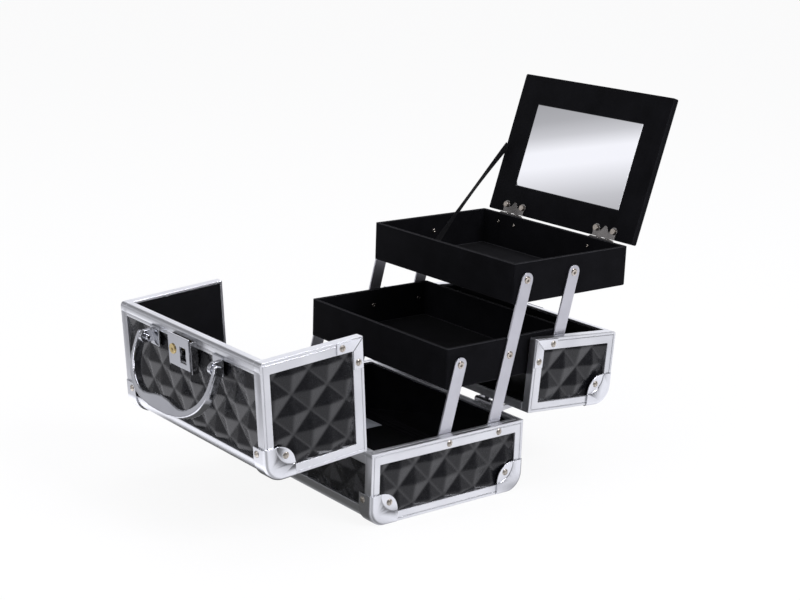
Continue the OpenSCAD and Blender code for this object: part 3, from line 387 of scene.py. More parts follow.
@dataclass(frozen=True)
class Weave(Finish):
    """Black woven ribbon that reads its own map: u across, v along, in metres."""

    name: str = "woven_ribbon"
    colour: Colour = (0.0025, 0.0025, 0.003, 1.0)
    pale: Colour = (0.011, 0.011, 0.0125, 1.0)
    thread: float = 0.00045

    def build(self) -> bpy.types.Material:
        """Builds the ribs across the ribbon and its thicker edges."""
        g = ShaderGraph(self.name)
        own = g.add("ShaderNodeUVMap").outputs[0]
        parts = g.add("ShaderNodeSeparateXYZ", {0: own})
        turns = 2 * math.pi / self.thread
        along = g.math("SINE", g.times(parts.outputs[1], turns))
        across = g.math("SINE", g.times(parts.outputs[0], turns * 1.3))
        threads = g.times(along, across)
        height = g.span(threads, -1.0, 1.0, 0.0, 1.0)
        return g.finish({
            "Base Color": g.mix(height, self.colour, self.pale), "Roughness": 0.75,
            "Specular IOR Level": 0.2, "Sheen Weight": 0.03, "Sheen Roughness": 0.4,
            "Normal": g.bump(height, 0.00012, 0.8)})


@dataclass(frozen=True)
class SilveredGlass(Finish):
    """Mirror glass: silver seen through clear glass."""

    name: str = "silvered_glass"
    colour: Colour = (0.89, 0.895, 0.9, 1.0)
    edge_tint: Colour = (0.12, 0.16, 0.15, 1.0)

    def build(self) -> bpy.types.Material:
        """Builds the silver with faint wipe marks and a green cut edge."""
        g = ShaderGraph(self.name)
        edge = g.rounded(0.0005)
        smear = g.noise(26.0, 5.0, (1, 1, 3))
        return g.finish({
            "Base Color": g.mix(g.worn(edge), self.colour, self.edge_tint),
            "Metallic": 1.0, "Roughness": g.span(smear, 0.4, 0.8, 0.012, 0.035),
            "Normal": edge})


@dataclass(frozen=True)
class ClearFilm(Finish):
    """Thin clear film with soft creases."""

    name: str = "clear_film"
    colour: Colour = (0.86, 0.9, 0.97, 1.0)

    def build(self) -> bpy.types.Material:
        """Builds the film: mostly see-through, a little milky."""
        g = ShaderGraph(self.name)
        crease = g.noise(140.0, 4.0, (1, 0.35, 0.35))
        return g.finish({
            "Base Color": self.colour, "Roughness": g.span(crease, 0.3, 0.7, 0.1, 0.24),
            "Alpha": g.span(crease, 0.35, 0.75, 0.78, 0.96), "Specular IOR Level": 0.6,
            "Normal": g.bump(crease, 0.0006, 0.6)})


@dataclass(frozen=True)
class GrainedBoard(Finish):
    """Black grained covering paper."""

    name: str = "grained_black_paper"
    colour: Colour = (0.010, 0.010, 0.011, 1.0)
    pale: Colour = (0.024, 0.024, 0.027, 1.0)
    edge: float = 0.0008

    def build(self) -> bpy.types.Material:
        """Builds the leather grain of the paper and its rubbed edges."""
        g = ShaderGraph(self.name)
        pores = g.cells(900.0)
        edge = g.rounded(self.edge)
        cloud = g.span(g.noise(45.0, 3.0), 0.35, 0.7, 0.0, 0.6)
        tint = g.mix(cloud, self.colour, self.pale)
        return g.finish({
            "Base Color": g.mix(g.times(g.worn(edge), 0.6), tint,
                                (0.06, 0.06, 0.065, 1.0)),
            "Roughness": g.span(g.noise(200.0), 0.3, 0.7, 0.48, 0.62),
            "Normal": g.bump(pores, 0.00012, 0.5, edge)})


ALUMINIUM_X, ALUMINIUM_Y = (
    Metal("satin_aluminium_" + axis, (0.83, 0.84, 0.86, 1), (0.76, 0.77, 0.8, 1),
          (0.27, 0.36), grain, edge=0.0009)
    for axis, grain in (("x", Grain.ALONG_X), ("y", Grain.ALONG_Y)))
CORNER_STEEL = Metal("pale_plated_corner", (0.8, 0.81, 0.84, 1), (0.76, 0.77, 0.8, 1),
                     (0.2, 0.27), Grain.NONE, 150.0, 0.000003, 0.0006, 24.0)
CHROME = Metal("bright_chrome", (0.7, 0.71, 0.74, 1), (0.6, 0.61, 0.65, 1), (0.06, 0.13),
               Grain.NONE, 320.0, 0.000004, 0.0006)
LOCK_STEEL = Metal("dark_lock_steel", (0.42, 0.42, 0.43, 1), (0.22, 0.22, 0.22, 1),
                   (0.12, 0.26), Grain.NONE, 420.0, 0.00001, 0.0004, 300.0)
ZINC = Metal("zinc_steel", (0.6, 0.6, 0.62, 1), (0.45, 0.45, 0.47, 1), (0.28, 0.42),
             Grain.NONE, 420.0, 0.00001, 0.0004)
SCREW_STEEL = Metal("warm_plated_screw", (0.66, 0.61, 0.54, 1), (0.5, 0.45, 0.38, 1),
                    (0.24, 0.38), Grain.NONE, 520.0, 0.000008, 0.0003, 300.0)
ARM_METAL = Metal("satin_arm", (0.7, 0.7, 0.745, 1), (0.63, 0.63, 0.67, 1), (0.3, 0.4),
                  Grain.ALONG_Z, 700.0, 0.000005, 0.0005)
HINGE_STEEL = Metal("dark_stamped_steel", (0.34, 0.325, 0.31, 1), (0.2, 0.19, 0.18, 1),
                    (0.2, 0.36), Grain.NONE, 480.0, 0.00001, 0.0004, 220.0)
RIVET_NICKEL = Metal("warm_nickel_rivet", (0.66, 0.6, 0.53, 1), (0.42, 0.36, 0.3, 1),
                     (0.14, 0.24), Grain.NONE, 420.0, 0.000004, 0.0002, 500.0)
BRASS = Metal("polished_brass", (0.86, 0.68, 0.33, 1), (0.62, 0.45, 0.18, 1), (0.16, 0.28),
              Grain.NONE, 380.0, 0.000006, 0.0004, 260.0)
SKIN = PressedSkin()
LINING = Flock("flocked_lining")
TRAY_FLOCK = Flock("flocked_tray", edge=0.0009, edge_pale=(0.085, 0.085, 0.092, 1.0))
PAPER = GrainedBoard()
MIRROR = SilveredGlass()
RIBBON = Weave()
FILM = ClearFilm()


# Meshes


def linked(name: str, data: Any) -> bpy.types.Object:
    """Makes an object of a mesh, lamp or camera and links it to the scene."""
    made = bpy.data.objects.new(name, data)
    bpy.context.scene.collection.objects.link(made)
    return made


def plain(source: bpy.types.Object, name: str) -> bpy.types.Object:
    """Turns an object with modifiers into a plain mesh object and removes the first.

    Args:
        source: The object with its modifiers.
        name: Name of the result.

    Returns:
        The new object at the origin.
    """
    bpy.context.view_layer.update()
    graph = bpy.context.evaluated_depsgraph_get()
    mesh = bpy.data.meshes.new_from_object(source.evaluated_get(graph), depsgraph=graph)
    made = linked(name, mesh)
    bpy.data.objects.remove(source)
    made.name = name
    return made


def from_bmesh(form: bmesh.types.BMesh, name: str) -> bpy.types.Object:
    """Makes an object of a bmesh and frees the bmesh."""
    mesh = bpy.data.meshes.new(name)
    form.to_mesh(mesh)
    form.free()
    return linked(name, mesh)


def paint(piece: bpy.types.Object, finish: Finish) -> None:
    """Gives a piece one finish."""
    piece.data.materials.clear()
    piece.data.materials.append(finish.material())
    indices = np.zeros(len(piece.data.polygons), dtype=np.int32)
    piece.data.polygons.foreach_set("material_index", indices)


def smooth(piece: bpy.types.Object, degrees: float) -> None:
    """Smooths a piece's shading below an angle between faces."""
    piece.data.polygons.foreach_set("use_smooth", [True] * len(piece.data.polygons))
    piece.data.set_sharp_from_angle(angle=math.radians(degrees))


class Frame:
    """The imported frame: what stands where and which body carries it."""

    def __init__(self) -> None:
        """Loads the frame and looks up each node's body and material slot."""
        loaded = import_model()
        self.nodes: dict[str, bpy.types.Object] = loaded["nodes"]
        record = loaded["record"]
        self.body = {node: body for body, nodes in record["behaviour"]["bodies"].items()
                     for node in nodes}
        self.slot = {part["node"]: part["material_slot"] for part in record["subparts"]}
        self.count = 0

    def copy(self, node: str, whole: bool = False) -> bmesh.types.BMesh:
        """Returns a node's solid, merged; its flat faces are made whole if asked."""
        form = bmesh.new()
        form.from_mesh(self.nodes[node].data)
        bmesh.ops.remove_doubles(form, verts=form.verts, dist=MERGE)
        if whole:
            bmesh.ops.dissolve_limit(form, angle_limit=FLAT_ANGLE, verts=form.verts,
                                     edges=form.edges, use_dissolve_boundaries=False)
        return form

    def softened(self, node: str, finish: Finish, width: float,
                 steps: int = 2) -> bpy.types.Object:
        """Replaces a node by its own form with rounded edges.

        Args:
            node: The node's name.
            finish: Its finish.
            width: Width of the rounding in metres; 0 leaves the edges sharp.
            steps: Facets across the rounding.

        Returns:
            The finished piece.
        """
        draft = from_bmesh(self.copy(node, width > 0), node + "_draft")
        smooth(draft, EDGE_DEGREES)
        if width > 0:
            bevel = draft.modifiers.new("Rounding", "BEVEL")
            bevel.width, bevel.segments = width, steps
            bevel.limit_method, bevel.angle_limit = "ANGLE", math.radians(EDGE_DEGREES)
            bevel.harden_normals = bevel.use_clamp_overlap = True
        return self.dressed(draft, node, finish)

    def cast(self, node: str, finish: Finish, pitch: float,
             passes: int) -> bpy.types.Object:
        """Replaces a node by its own form with the soft edges of a casting.

        Args:
            node: The node's name.
            finish: Its finish.
            pitch: Size of the faces in metres.
            passes: How often the surface is eased; more gives rounder edges.

        Returns:
            The finished piece.
        """
        draft = from_bmesh(self.copy(node, True), node + "_draft")
        skin = draft.modifiers.new("Skin", "REMESH")
        skin.mode, skin.voxel_size = "VOXEL", pitch
        ease = draft.modifiers.new("Ease", "SMOOTH")
        ease.factor, ease.iterations = 0.5, passes
        return self.dressed(draft, node, finish, 180)

    def dressed(self, draft: bpy.types.Object, node: str, finish: Finish,
                degrees: Optional[float] = None) -> bpy.types.Object:
        """Makes a draft the finished piece of its node.

        Args:
            draft: The object with its modifiers.
            node: The node's name.
            finish: The finish.
            degrees: Angle between faces below which the shading is smooth, if it is set anew.

        Returns:
            The finished piece.
        """
        piece = plain(draft, node + "_dressed")
        if degrees is not None:
            smooth(piece, degrees)
        paint(piece, finish)
        return self.stand_in(piece, node)

    def stand_in(self, piece: bpy.types.Object, node: str) -> bpy.types.Object:
        """Lets a piece stand for a node: it hides the node and rides on the node's body.

        Args:
            piece: The finished piece.
            node: The node that it stands for.

        Returns:
            The piece.
        """
        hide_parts(node)
        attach(piece, self.body[node])
        self.count += 1
        size = piece.dimensions * 1000
        LOG.info("%s: rides on %s, %.0f x %.0f x %.0f mm, %d faces", piece.name,
                 self.body[node], size.x, size.y, size.z, len(piece.data.polygons))
        return piece

    def islands(self, node: str) -> list[np.ndarray]:
        """Returns the vertices of each separate solid of a node."""
        form = self.copy(node)
        seen: set[bmesh.types.BMVert] = set()
        found = []
        for start in form.verts:
            if start in seen:
                continue
            group, queue = [], [start]
            seen.add(start)
            while queue:
                vert = queue.pop()
                group.append(vert.co[:])
                for edge in vert.link_edges:
                    other = edge.other_vert(vert)
                    if other not in seen:
                        seen.add(other)
                        queue.append(other)
            found.append(np.array(group))
        form.free()
        return found


# Geometry Nodes


class NodeShape(Graph):
    """A Geometry Nodes tree with named inputs, applied to an object."""

    def __init__(self, name: str) -> None:
        """Starts an empty tree with its material input.

        Args:
            name: The tree's name.
        """
        super().__init__(bpy.data.node_groups.new(name, "GeometryNodeTree"))
        self.tree.is_modifier = True
        face = self.tree.interface
        face.new_socket("Geometry", in_out="INPUT", socket_type="NodeSocketGeometry")
        face.new_socket("Geometry", in_out="OUTPUT", socket_type="NodeSocketGeometry")
        self.start = self.tree.nodes.new("NodeGroupInput")
        self.end = self.tree.nodes.new("NodeGroupOutput")
        self.identifiers: dict[str, str] = {}
        self.size("Finish", "NodeSocketMaterial")

    def size(self, name: str, kind: str = "NodeSocketFloat") -> Any:
        """Adds a named input and returns its socket."""
        socket = self.tree.interface.new_socket(name, in_out="INPUT", socket_type=kind)
        self.identifiers[name] = socket.identifier
        return self.start.outputs[name]

    def point(self) -> Any:
        """Returns the three values of each point's place."""
        place = self.add("GeometryNodeInputPosition").outputs[0]
        return self.add("ShaderNodeSeparateXYZ", {0: place}).outputs

    def vector(self, x: Any = 0.0, y: Any = 0.0, z: Any = 0.0) -> Any:
        """Returns a vector of three values."""
        return self.add("ShaderNodeCombineXYZ", {0: x, 1: y, 2: z}).outputs[0]

    def named(self, name: str, kind: str) -> Any:
        """Returns a named attribute of the points."""
        return self.add("GeometryNodeInputNamedAttribute", {"Name": name},
                        data_type=kind).outputs[0]

    def moved(self, geometry: Any, how: str, vector: Any) -> Any:
        """Returns the geometry with its points moved and smooth shading.

        Args:
            geometry: The geometry.
            how: "Position" for new places, "Offset" for a shift.
            vector: The places or shifts.

        Returns:
            The socket with the geometry.
        """
        moved = self.add("GeometryNodeSetPosition", {"Geometry": geometry, how: vector})
        return self.add("GeometryNodeSetShadeSmooth", {"Geometry": moved.outputs[0]}).outputs[0]

    def facing(self) -> Any:
        """Returns the turn that points a head as its point says."""
        return self.add("FunctionNodeAlignRotationToVector", {
            "Vector": self.named("facing", "FLOAT_VECTOR")}, axis="Z").outputs[0]

    def on_points(self, head: Any, turn: Any, scale: Any = (1.0, 1.0, 1.0)) -> None:
        """Ends the tree with a head on each point.

        Args:
            head: The geometry of the head.
            turn: The turn of each head.
            scale: The scale of each head.
        """
        points = self.add("GeometryNodeMeshToPoints", {"Mesh": self.start.outputs["Geometry"]})
        heads = self.add("GeometryNodeInstanceOnPoints", {
            "Points": points.outputs[0], "Instance": head, "Rotation": turn, "Scale": scale})
        self.close(heads.outputs[0])

    def close(self, geometry: Any) -> None:
        """Ends the tree: real faces, then the material."""
        real = self.add("GeometryNodeRealizeInstances", {"Geometry": geometry})
        done = self.add("GeometryNodeSetMaterial", {
            "Geometry": real.outputs[0], "Material": self.start.outputs["Finish"]})
        self.tree.links.new(done.outputs[0], self.end.inputs["Geometry"])

    def apply(self, draft: bpy.types.Object, name: str, finish: Finish,
              **sizes: Any) -> bpy.types.Object:
        """Runs the tree on an object and returns the result as a plain mesh.

        Args:
            draft: The object that the tree starts from; it is used up.
            name: Name of the result.
            finish: The material that the tree sets.
            sizes: Values of the named inputs, with _ for each space.

        Returns:
            The new object.
        """
        modifier = draft.modifiers.new("Shape", "NODES")
        modifier.node_group = self.tree
        modifier[self.identifiers["Finish"]] = finish.material()
        for key, value in sizes.items():
            modifier[self.identifiers[key.replace("_", " ")]] = value
        return plain(draft, name)


@dataclass(frozen=True)
class Sheet:
    """One pressed panel: a rectangle on a face of the case."""

    width: float
    height: float
    shift: tuple[float, float]
    place: Matrix
    flipped: bool = False


@dataclass
class DiamondPanels:
    """The skin pressed in diamonds, drawn as a rule on a fine grid."""

    diamond_width: float = 31 * MM
    diamond_height: float = 32 * MM
    relief: float = 3 * MM
    thickness: float = 0.8 * MM
    softness: float = 0.75 * MM
    grid: float = 1.0 * MM
    shape: Optional[NodeShape] = None

    def tree(self) -> NodeShape:
        """Builds the tree: a grid raised to the lower of two rows of ridges."""
        s = NodeShape("Pressed diamonds")
        wide, high = s.size("Width"), s.size("Height")
        across, up = s.size("Diamond width"), s.size("Diamond height")
        relief, base = s.size("Relief"), s.size("Thickness")
        soft, grid = s.size("Softness"), s.size("Grid")
        shift_x, shift_y = s.size("Shift across"), s.size("Shift up")
        count_x = s.plus(s.math("ROUND", s.math("DIVIDE", wide, grid)), 1.0)
        count_y = s.plus(s.math("ROUND", s.math("DIVIDE", high, grid)), 1.0)
        sheet = s.add("GeometryNodeMeshGrid", {
            "Size X": wide, "Size Y": high, "Vertices X": count_x, "Vertices Y": count_y})
        point = s.point()
        x, y = s.minus(point[0], shift_x), s.minus(point[1], shift_y)
        slope = s.math("ARCTAN2", across, up)
        cos, sin = s.math("COSINE", slope), s.math("SINE", slope)
        length = s.math("SQRT", s.plus(s.times(across, across), s.times(up, up)))
        step = s.math("DIVIDE", s.times(across, up), s.times(length, 2.0))
        heights = []
        for turn in ("ADD", "SUBTRACT"):
            along = s.math(turn, s.times(x, cos), s.times(y, sin))
            fold = s.math("PINGPONG", s.math("DIVIDE", along, step), 1.0)
            heights.append(s.times(s.minus(1.0, fold), relief))
        lower = s.add("ShaderNodeMath", {0: heights[0], 1: heights[1], 2: soft},
                      operation="SMOOTH_MIN").outputs[0]
        lift = s.vector(z=s.plus(lower, base))
        s.close(s.moved(sheet.outputs["Mesh"], "Offset", lift))
        return s

    def press(self, sheets: Sequence[Sheet], name: str) -> bpy.types.Object:
        """Presses several panels and joins them in one mesh.

        Args:
            sheets: The rectangles and where they sit.
            name: Name of the piece.

        Returns:
            The joined piece.
        """
        self.shape = self.shape or self.tree()
        whole = bmesh.new()
        for sheet in sheets:
            draft = linked("sheet_draft", bpy.data.meshes.new("sheet_draft"))
            panel = self.shape.apply(
                draft, "sheet_panel", SKIN, Width=sheet.width, Height=sheet.height,
                Diamond_width=self.diamond_width, Diamond_height=self.diamond_height,
                Relief=self.relief, Thickness=self.thickness, Softness=self.softness,
                Grid=self.grid, Shift_across=sheet.shift[0], Shift_up=sheet.shift[1])
            mesh = panel.data
            mesh.transform(sheet.place)
            if sheet.flipped:
                mesh.flip_normals()
            whole.from_mesh(mesh)
            bpy.data.objects.remove(panel)
        piece = from_bmesh(whole, name)
        piece.data.polygons.foreach_set("use_smooth", [True] * len(piece.data.polygons))
        paint(piece, SKIN)
        return piece


def on_side(y: float, z: float, x: float) -> Matrix:
    """Places a sheet on the right side face: its width runs along y, its height up."""
    return Matrix(((0, 0, 1, x), (1, 0, 0, y), (0, 1, 0, z), (0, 0, 0, 1)))


def on_front(y: float, z: float) -> Matrix:
    """Places a sheet on the front face: its width runs along x, its height up."""
    return Matrix(((1, 0, 0, 0), (0, 0, -1, y), (0, 1, 0, z), (0, 0, 0, 1)))


def mirrored(axis: int) -> Matrix:
    """Returns a reflection in the middle plane across an axis."""
    turn = Matrix.Identity(4)
    turn[axis][axis] = -1
    return turn


def off_axis(solid: np.ndarray, middle: np.ndarray,
             axis: np.ndarray) -> tuple[np.ndarray, np.ndarray]:
    """Measures a turned solid.

    Args:
        solid: Its points.
        middle: A point on its axis.
        axis: Unit vector along it.

    Returns:
        Each point's place along the axis and its distance from it.
    """
    along = (solid - middle) @ axis
    return along, np.linalg.norm(solid - middle - np.outer(along, axis), axis=1)


def seats(node: str, places: list[np.ndarray], facings: list[np.ndarray],
          reaches: Sequence[float] = ()) -> bpy.types.Object:
    """Makes an object of bare points for heads to sit on.

    Args:
        node: Name of the node with the screws or rivets.
        places: The points.
        facings: The direction that each head faces.
        reaches: The radius of each head, if they differ.

    Returns:
        The object.
    """
    mesh = bpy.data.meshes.new(node + "_seats")
    mesh.from_pydata(places, [], [])
    mesh.attributes.new("facing", "FLOAT_VECTOR", "POINT").data.foreach_set(
        "vector", np.array(facings).ravel())
    if reaches:
        mesh.attributes.new("reach", "FLOAT", "POINT").data.foreach_set("value", reaches)
    return linked(node + "_seats", mesh)


@dataclass
class ScrewHeads:
    """Slotted round screw heads, one tree for all sizes."""

    slot_share: float = 0.26
    slot_depth: float = 0.55
    seed: int = 7
    shape: Optional[NodeShape] = None

    def tree(self) -> NodeShape:
        """Builds the tree: a slotted dome on each point, facing as the point says."""
        s = NodeShape("Screw heads")
        radius, height = s.size("Radius"), s.size("Height")
        share, depth = s.size("Slot share"), s.size("Slot depth")
        seed = s.size("Seed", "NodeSocketInt")
        ball = s.add("GeometryNodeMeshUVSphere", {"Segments": 28, "Rings": 14, "Radius": 1.0})
        point = s.point()
        flat = s.math("MAXIMUM", point[2], -0.05)
        shaped = s.vector(s.times(point[0], radius), s.times(point[1], radius),
                          s.times(flat, height))
        dome = s.moved(ball.outputs["Mesh"], "Position", shaped)
        cut_size = s.vector(s.times(radius, 3.0), s.times(radius, share), s.times(height, 2.0))
        cutter = s.add("GeometryNodeMeshCube", {"Size": cut_size})
        placed = s.add("GeometryNodeTransform", {
            "Geometry": cutter.outputs["Mesh"],
            "Translation": s.vector(z=s.times(height, s.minus(2.0, depth)))})
        slotted = s.add("GeometryNodeMeshBoolean", {"Mesh 1": dome}, operation="DIFFERENCE",
                        solver="EXACT")
        s.tree.links.new(placed.outputs[0], slotted.inputs["Mesh 2"])
        spin = s.add("FunctionNodeRandomValue", {2: 0.0, 3: math.pi, "Seed": seed},
                     data_type="FLOAT")
        both = s.add("FunctionNodeRotateRotation", {
            0: s.facing(), 1: s.vector(z=spin.outputs[1])}, rotation_space="LOCAL")
        s.on_points(slotted.outputs["Mesh"], both.outputs[0])
        return s

    def seat(self, frame: Frame, node: str, finish: Finish) -> bpy.types.Object:
        """Puts a slotted head where each of a node's screws is.

        Args:
            frame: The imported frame.
            node: The node with the plain screws.
            finish: Finish of the heads.

        Returns:
            The piece with all the heads.
        """
        self.shape = self.shape or self.tree()
        places, facings, radii, heights = [], [], [], []
        for solid in frame.islands(node):
            middle = solid.mean(0)
            axis = thin_way(solid)
            along, off = off_axis(solid, middle, axis)
            if off[along > along.mean()].max() > off[along < along.mean()].max():
                axis, along = -axis, -along
            radii.append(off.max())
            heights.append(along.max() - along.min())
            places.append(middle + axis * along.min())
            facings.append(axis)
        piece = self.shape.apply(
            seats(node, places, facings), node + "_dressed", finish,
            Radius=float(np.median(radii)), Height=float(np.median(heights)),
            Slot_share=self.slot_share, Slot_depth=self.slot_depth, Seed=self.seed)
        smooth(piece, 40)
        return frame.stand_in(piece, node)


@dataclass
class RivetHeads:
    """Hollow rivet heads, one tree for all of them."""

    height: float = 0.5 * MM
    plug: float = 1.2 * MM
    ring: float = 0.62
    grow: float = 1.12
    near: float = 0.35 * MM
    shape: Optional[NodeShape] = None

    def tree(self) -> NodeShape:
        """Builds the tree: a rolled ring round a dimple on each point."""
        s = NodeShape("Rivet heads")
        height, plug, ring = s.size("Height"), s.size("Plug"), s.size("Ring")
        ball = s.add("GeometryNodeMeshUVSphere", {"Segments": 24, "Rings": 24, "Radius": 1.0})
        point = s.point()
        reach = s.add("ShaderNodeVectorMath", {0: s.vector(point[0], point[1])},
                      operation="LENGTH").outputs["Value"]
        off = s.math("DIVIDE", s.minus(reach, ring), s.minus(1.0, ring))
        roll = s.math("SQRT", s.math("MAXIMUM", s.minus(1.0, s.times(off, off)), 0.0))
        top = s.times(s.math("MAXIMUM", roll, 0.08), height)
        above = s.math("GREATER_THAN", point[2], -0.01)
        level = s.minus(s.times(top, above), s.times(plug, s.minus(1.0, above)))
        head = s.moved(ball.outputs["Mesh"], "Position", s.vector(point[0], point[1], level))
        radius = s.named("reach", "FLOAT")
        s.on_points(head, s.facing(), s.vector(radius, radius, 1.0))
        return s

    def seat(self, frame: Frame, node: str, finish: Finish,
             axis: np.ndarray) -> bpy.types.Object:
        """Puts a hollow head at both ends of each of a node's rivets.

        Args:
            frame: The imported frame.
            node: The node with the plain rivets.
            finish: Finish of the heads.
            axis: Unit vector along the rivets.

        Returns:
            The piece with all the heads.
        """
        self.shape = self.shape or self.tree()
        places, facings, radii = [], [], []
        for solid in frame.islands(node):
            middle = (solid.min(0) + solid.max(0)) / 2
            along, off = off_axis(solid, middle, axis)
            for way, end in ((1, along.max()), (-1, along.min())):
                near = off[np.abs(along - end) < self.near]
                places.append(middle + axis * (end - way * self.height))
                facings.append(axis * way)
                radii.append(near.max() * self.grow)
        piece = self.shape.apply(seats(node, places, facings, radii), node + "_dressed",
                                 finish, Height=self.height, Plug=self.plug, Ring=self.ring)
        smooth(piece, 45)
        return frame.stand_in(piece, node)


def thin_way(points: np.ndarray) -> np.ndarray:
    """Returns the direction in which a flat solid is thinnest.

    Args:
        points: Its points.

    Returns:
        The unit vector across the solid.
    """
    return np.linalg.svd(points - points.mean(0), full_matrices=False)[2][2]


# Sub-assemblies


def dress_box(frame: Frame, screws: ScrewHeads, prefix: str) -> None:
    """Dresses what the base and both lids have alike.

    Args:
        frame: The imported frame.
        screws: The screw heads.
        prefix: What stands before each node's name.
    """
    frame.softened(prefix + "board", PAPER, 0.0)
    frame.softened(prefix + "lining", LINING, 0.0)
    frame.softened(prefix + "end_frames", ALUMINIUM_Y, FRAME_EDGE, 3)
    frame.softened(prefix + "rails", ALUMINIUM_X, FRAME_EDGE, 3)
    frame.softened(prefix + "ball_corners", CORNER_STEEL, 0.35 * MM)
    screws.seat(frame, prefix + "screws", SCREW_STEEL)


@dataclass
class Base:
    """The open box: board, skin, lining, frame, corners and feet of the arms."""

    frame: Frame
    panels: DiamondPanels
    screws: ScrewHeads
    side_shift: tuple[float, float] = (-2 * MM, -4 * MM)
    face_shift: tuple[float, float] = (0.0, 6 * MM)

    def skin(self) -> None:
        """Presses the four outer panels."""
        sheets = []
        window = (STRIP, BASE_HEIGHT - RIM)
        middle = sum(window) / 2
        for side in (False, True):
            place = on_side(0, middle, CASE_WIDTH / 2 - FRAME_DEPTH)
            shift = (self.side_shift[0], self.side_shift[1] + BASE_HEIGHT / 2 - middle)
            sheets.append(Sheet(CASE_DEPTH - 2 * STRIP, window[1] - window[0], shift,
                                mirrored(0) @ place if side else place, side))
        face_low = self.face_low()
        face_middle = (face_low + window[1]) / 2
        for back in (False, True):
            place = on_front(FRONT_Y + FRAME_DEPTH, face_middle)
            sheets.append(Sheet(CASE_WIDTH - 2 * STRIP, window[1] - face_low, self.face_shift,
                                mirrored(1) @ place if back else place, back))
        self.frame.stand_in(self.panels.press(sheets, "base_panels_dressed"), "base_panels")

    def face_low(self) -> float:
        """Returns the lower edge of the front panel, read from its solid."""
        mesh = self.frame.nodes["base_panels"].data
        zs = [v.co.z for v in mesh.vertices if abs(v.co.x) < CASE_WIDTH / 2 - 2 * STRIP]
        return min(zs)

    def build(self) -> None:
        """Builds and dresses every piece of the base."""
        f = self.frame
        self.skin()
        f.softened("base_bottom_panel", PAPER, 0.5 * MM)
        dress_box(f, self.screws, "base_")
        f.softened("base_pivot_screws", SCREW_STEEL, 0.12 * MM)
        for node in ("front_hinge_base_leaves", "front_hinge_pins", "rear_hinge_base_leaves",
                     "rear_hinge_pins"):
            f.softened(node, ZINC, LEAF_EDGE)


@dataclass
class Lid:
    """One of the two lids that swing out on the case's hinges."""

    frame: Frame
    panels: DiamondPanels
    screws: ScrewHeads
    end: str
    depth: float
    opened: float
    side_shift: tuple[float, float]
    face_shift: tuple[float, float]
    top_shift: tuple[float, float]

    def swing(self) -> Matrix:
        """Returns the turn of the open lid about its hinge."""
        sign = 1 if self.end == "front" else -1
        hinge = Vector((0, (FRONT_Y - HINGE_REACH) * sign, HINGE_Z))
        turn = Matrix.Rotation(math.radians(self.opened) * sign, 4, "X")
        turned = Matrix.Translation(hinge) @ turn @ Matrix.Translation(-hinge)
        return turned if sign > 0 else turned @ mirrored(1)

    def skin(self) -> None:
        """Presses the two end panels, the face and the top."""
        swing, rear = self.swing(), self.end == "rear"
        wide = CASE_WIDTH - 2 * STRIP
        block = ((FRONT_Y * 2 + self.depth) / 2, (LID_Z + TOP_Z) / 2)
        y_low, y_high = FRONT_Y + STRIP, FRONT_Y + self.depth - RIM
        z_low, z_high = LID_Z + RIM, TOP_Z - STRIP
        middle = ((y_low + y_high) / 2, (z_low + z_high) / 2)
        shift = (self.side_shift[0] + block[0] - middle[0],
                 self.side_shift[1] + block[1] - middle[1])
        place = on_side(*middle, CASE_WIDTH / 2 - FRAME_DEPTH)
        size = (y_high - y_low, z_high - z_low)
        sheets = [Sheet(*size, shift, swing @ place, rear),
                  Sheet(*size, shift, swing @ mirrored(0) @ place, not rear)]
        face = (LID_Z + RIM, TOP_Z - CORNER_ROUND)
        sheets.append(Sheet(wide, face[1] - face[0], self.face_shift,
                            swing @ on_front(FRONT_Y + FRAME_DEPTH, sum(face) / 2), rear))
        top = (FRONT_Y + CORNER_ROUND, y_high)
        flat = Matrix.Translation((0, sum(top) / 2, TOP_Z - FRAME_DEPTH))
        sheets.append(Sheet(wide, top[1] - top[0], self.top_shift, swing @ flat, rear))
        node = self.end + "_lid_panels"
        self.frame.stand_in(self.panels.press(sheets, node + "_dressed"), node)

    def build(self) -> None:
        """Builds and dresses every piece of the lid."""
        f, name = self.frame, self.end + "_lid_"
        self.skin()
        dress_box(f, self.screws, name)
        f.softened(name + "mitre_plates", CORNER_STEEL, LEAF_EDGE)
        f.softened(self.end + "_hinge_lid_leaves", ZINC, LEAF_EDGE)


@dataclass
class CarryingParts:
    """Handle, its brackets, the lock and the hasp."""

    frame: Frame
    handle_pitch: float = 0.55 * MM
    handle_ease: int = 22

    def build(self) -> None:
        """Builds and dresses the handle, the lock and the hasp."""
        f = self.frame
        f.cast("handle", CHROME, self.handle_pitch, self.handle_ease)
        for node, finish, width in (
                ("handle_brackets", CHROME, 0.3), ("lock_case", LOCK_STEEL, 0.3),
                ("latch_pin", ZINC, 0.1), ("latch_lever", CHROME, 0.25),
                ("lock_cylinder", BRASS, 0.15), ("hasp_plate", CHROME, 0.15),
                ("hasp_tongue", CHROME, 0.15), ("hasp_pin", ZINC, 0.1)):
            f.softened(node, finish, width * MM)


@dataclass
class Trays:
    """The two flocked trays on their arms."""

    frame: Frame
    rivets: RivetHeads
    rim: float = 0.7 * MM

    def build(self) -> None:
        """Builds and dresses the trays, the arms and their rivets."""
        f = self.frame
        f.softened("lower_tray", TRAY_FLOCK, self.rim, 3)
        f.softened("upper_tray", TRAY_FLOCK, self.rim, 3)
        sideways, lengthways = np.eye(3)[:2]
        board_way = thin_way(f.islands("mirror_glass")[0])
        for node, way in (("lower_tray_rivets", sideways), ("upper_tray_rivets", sideways),
                          ("mirror_hinge_rivets", lengthways), ("mirror_lid_rivets", board_way)):
            self.rivets.seat(f, node, RIVET_NICKEL, way)
        for node in ("short_arms", "long_arms", "rear_arms"):
            f.softened(node, ARM_METAL, 0.2 * MM)


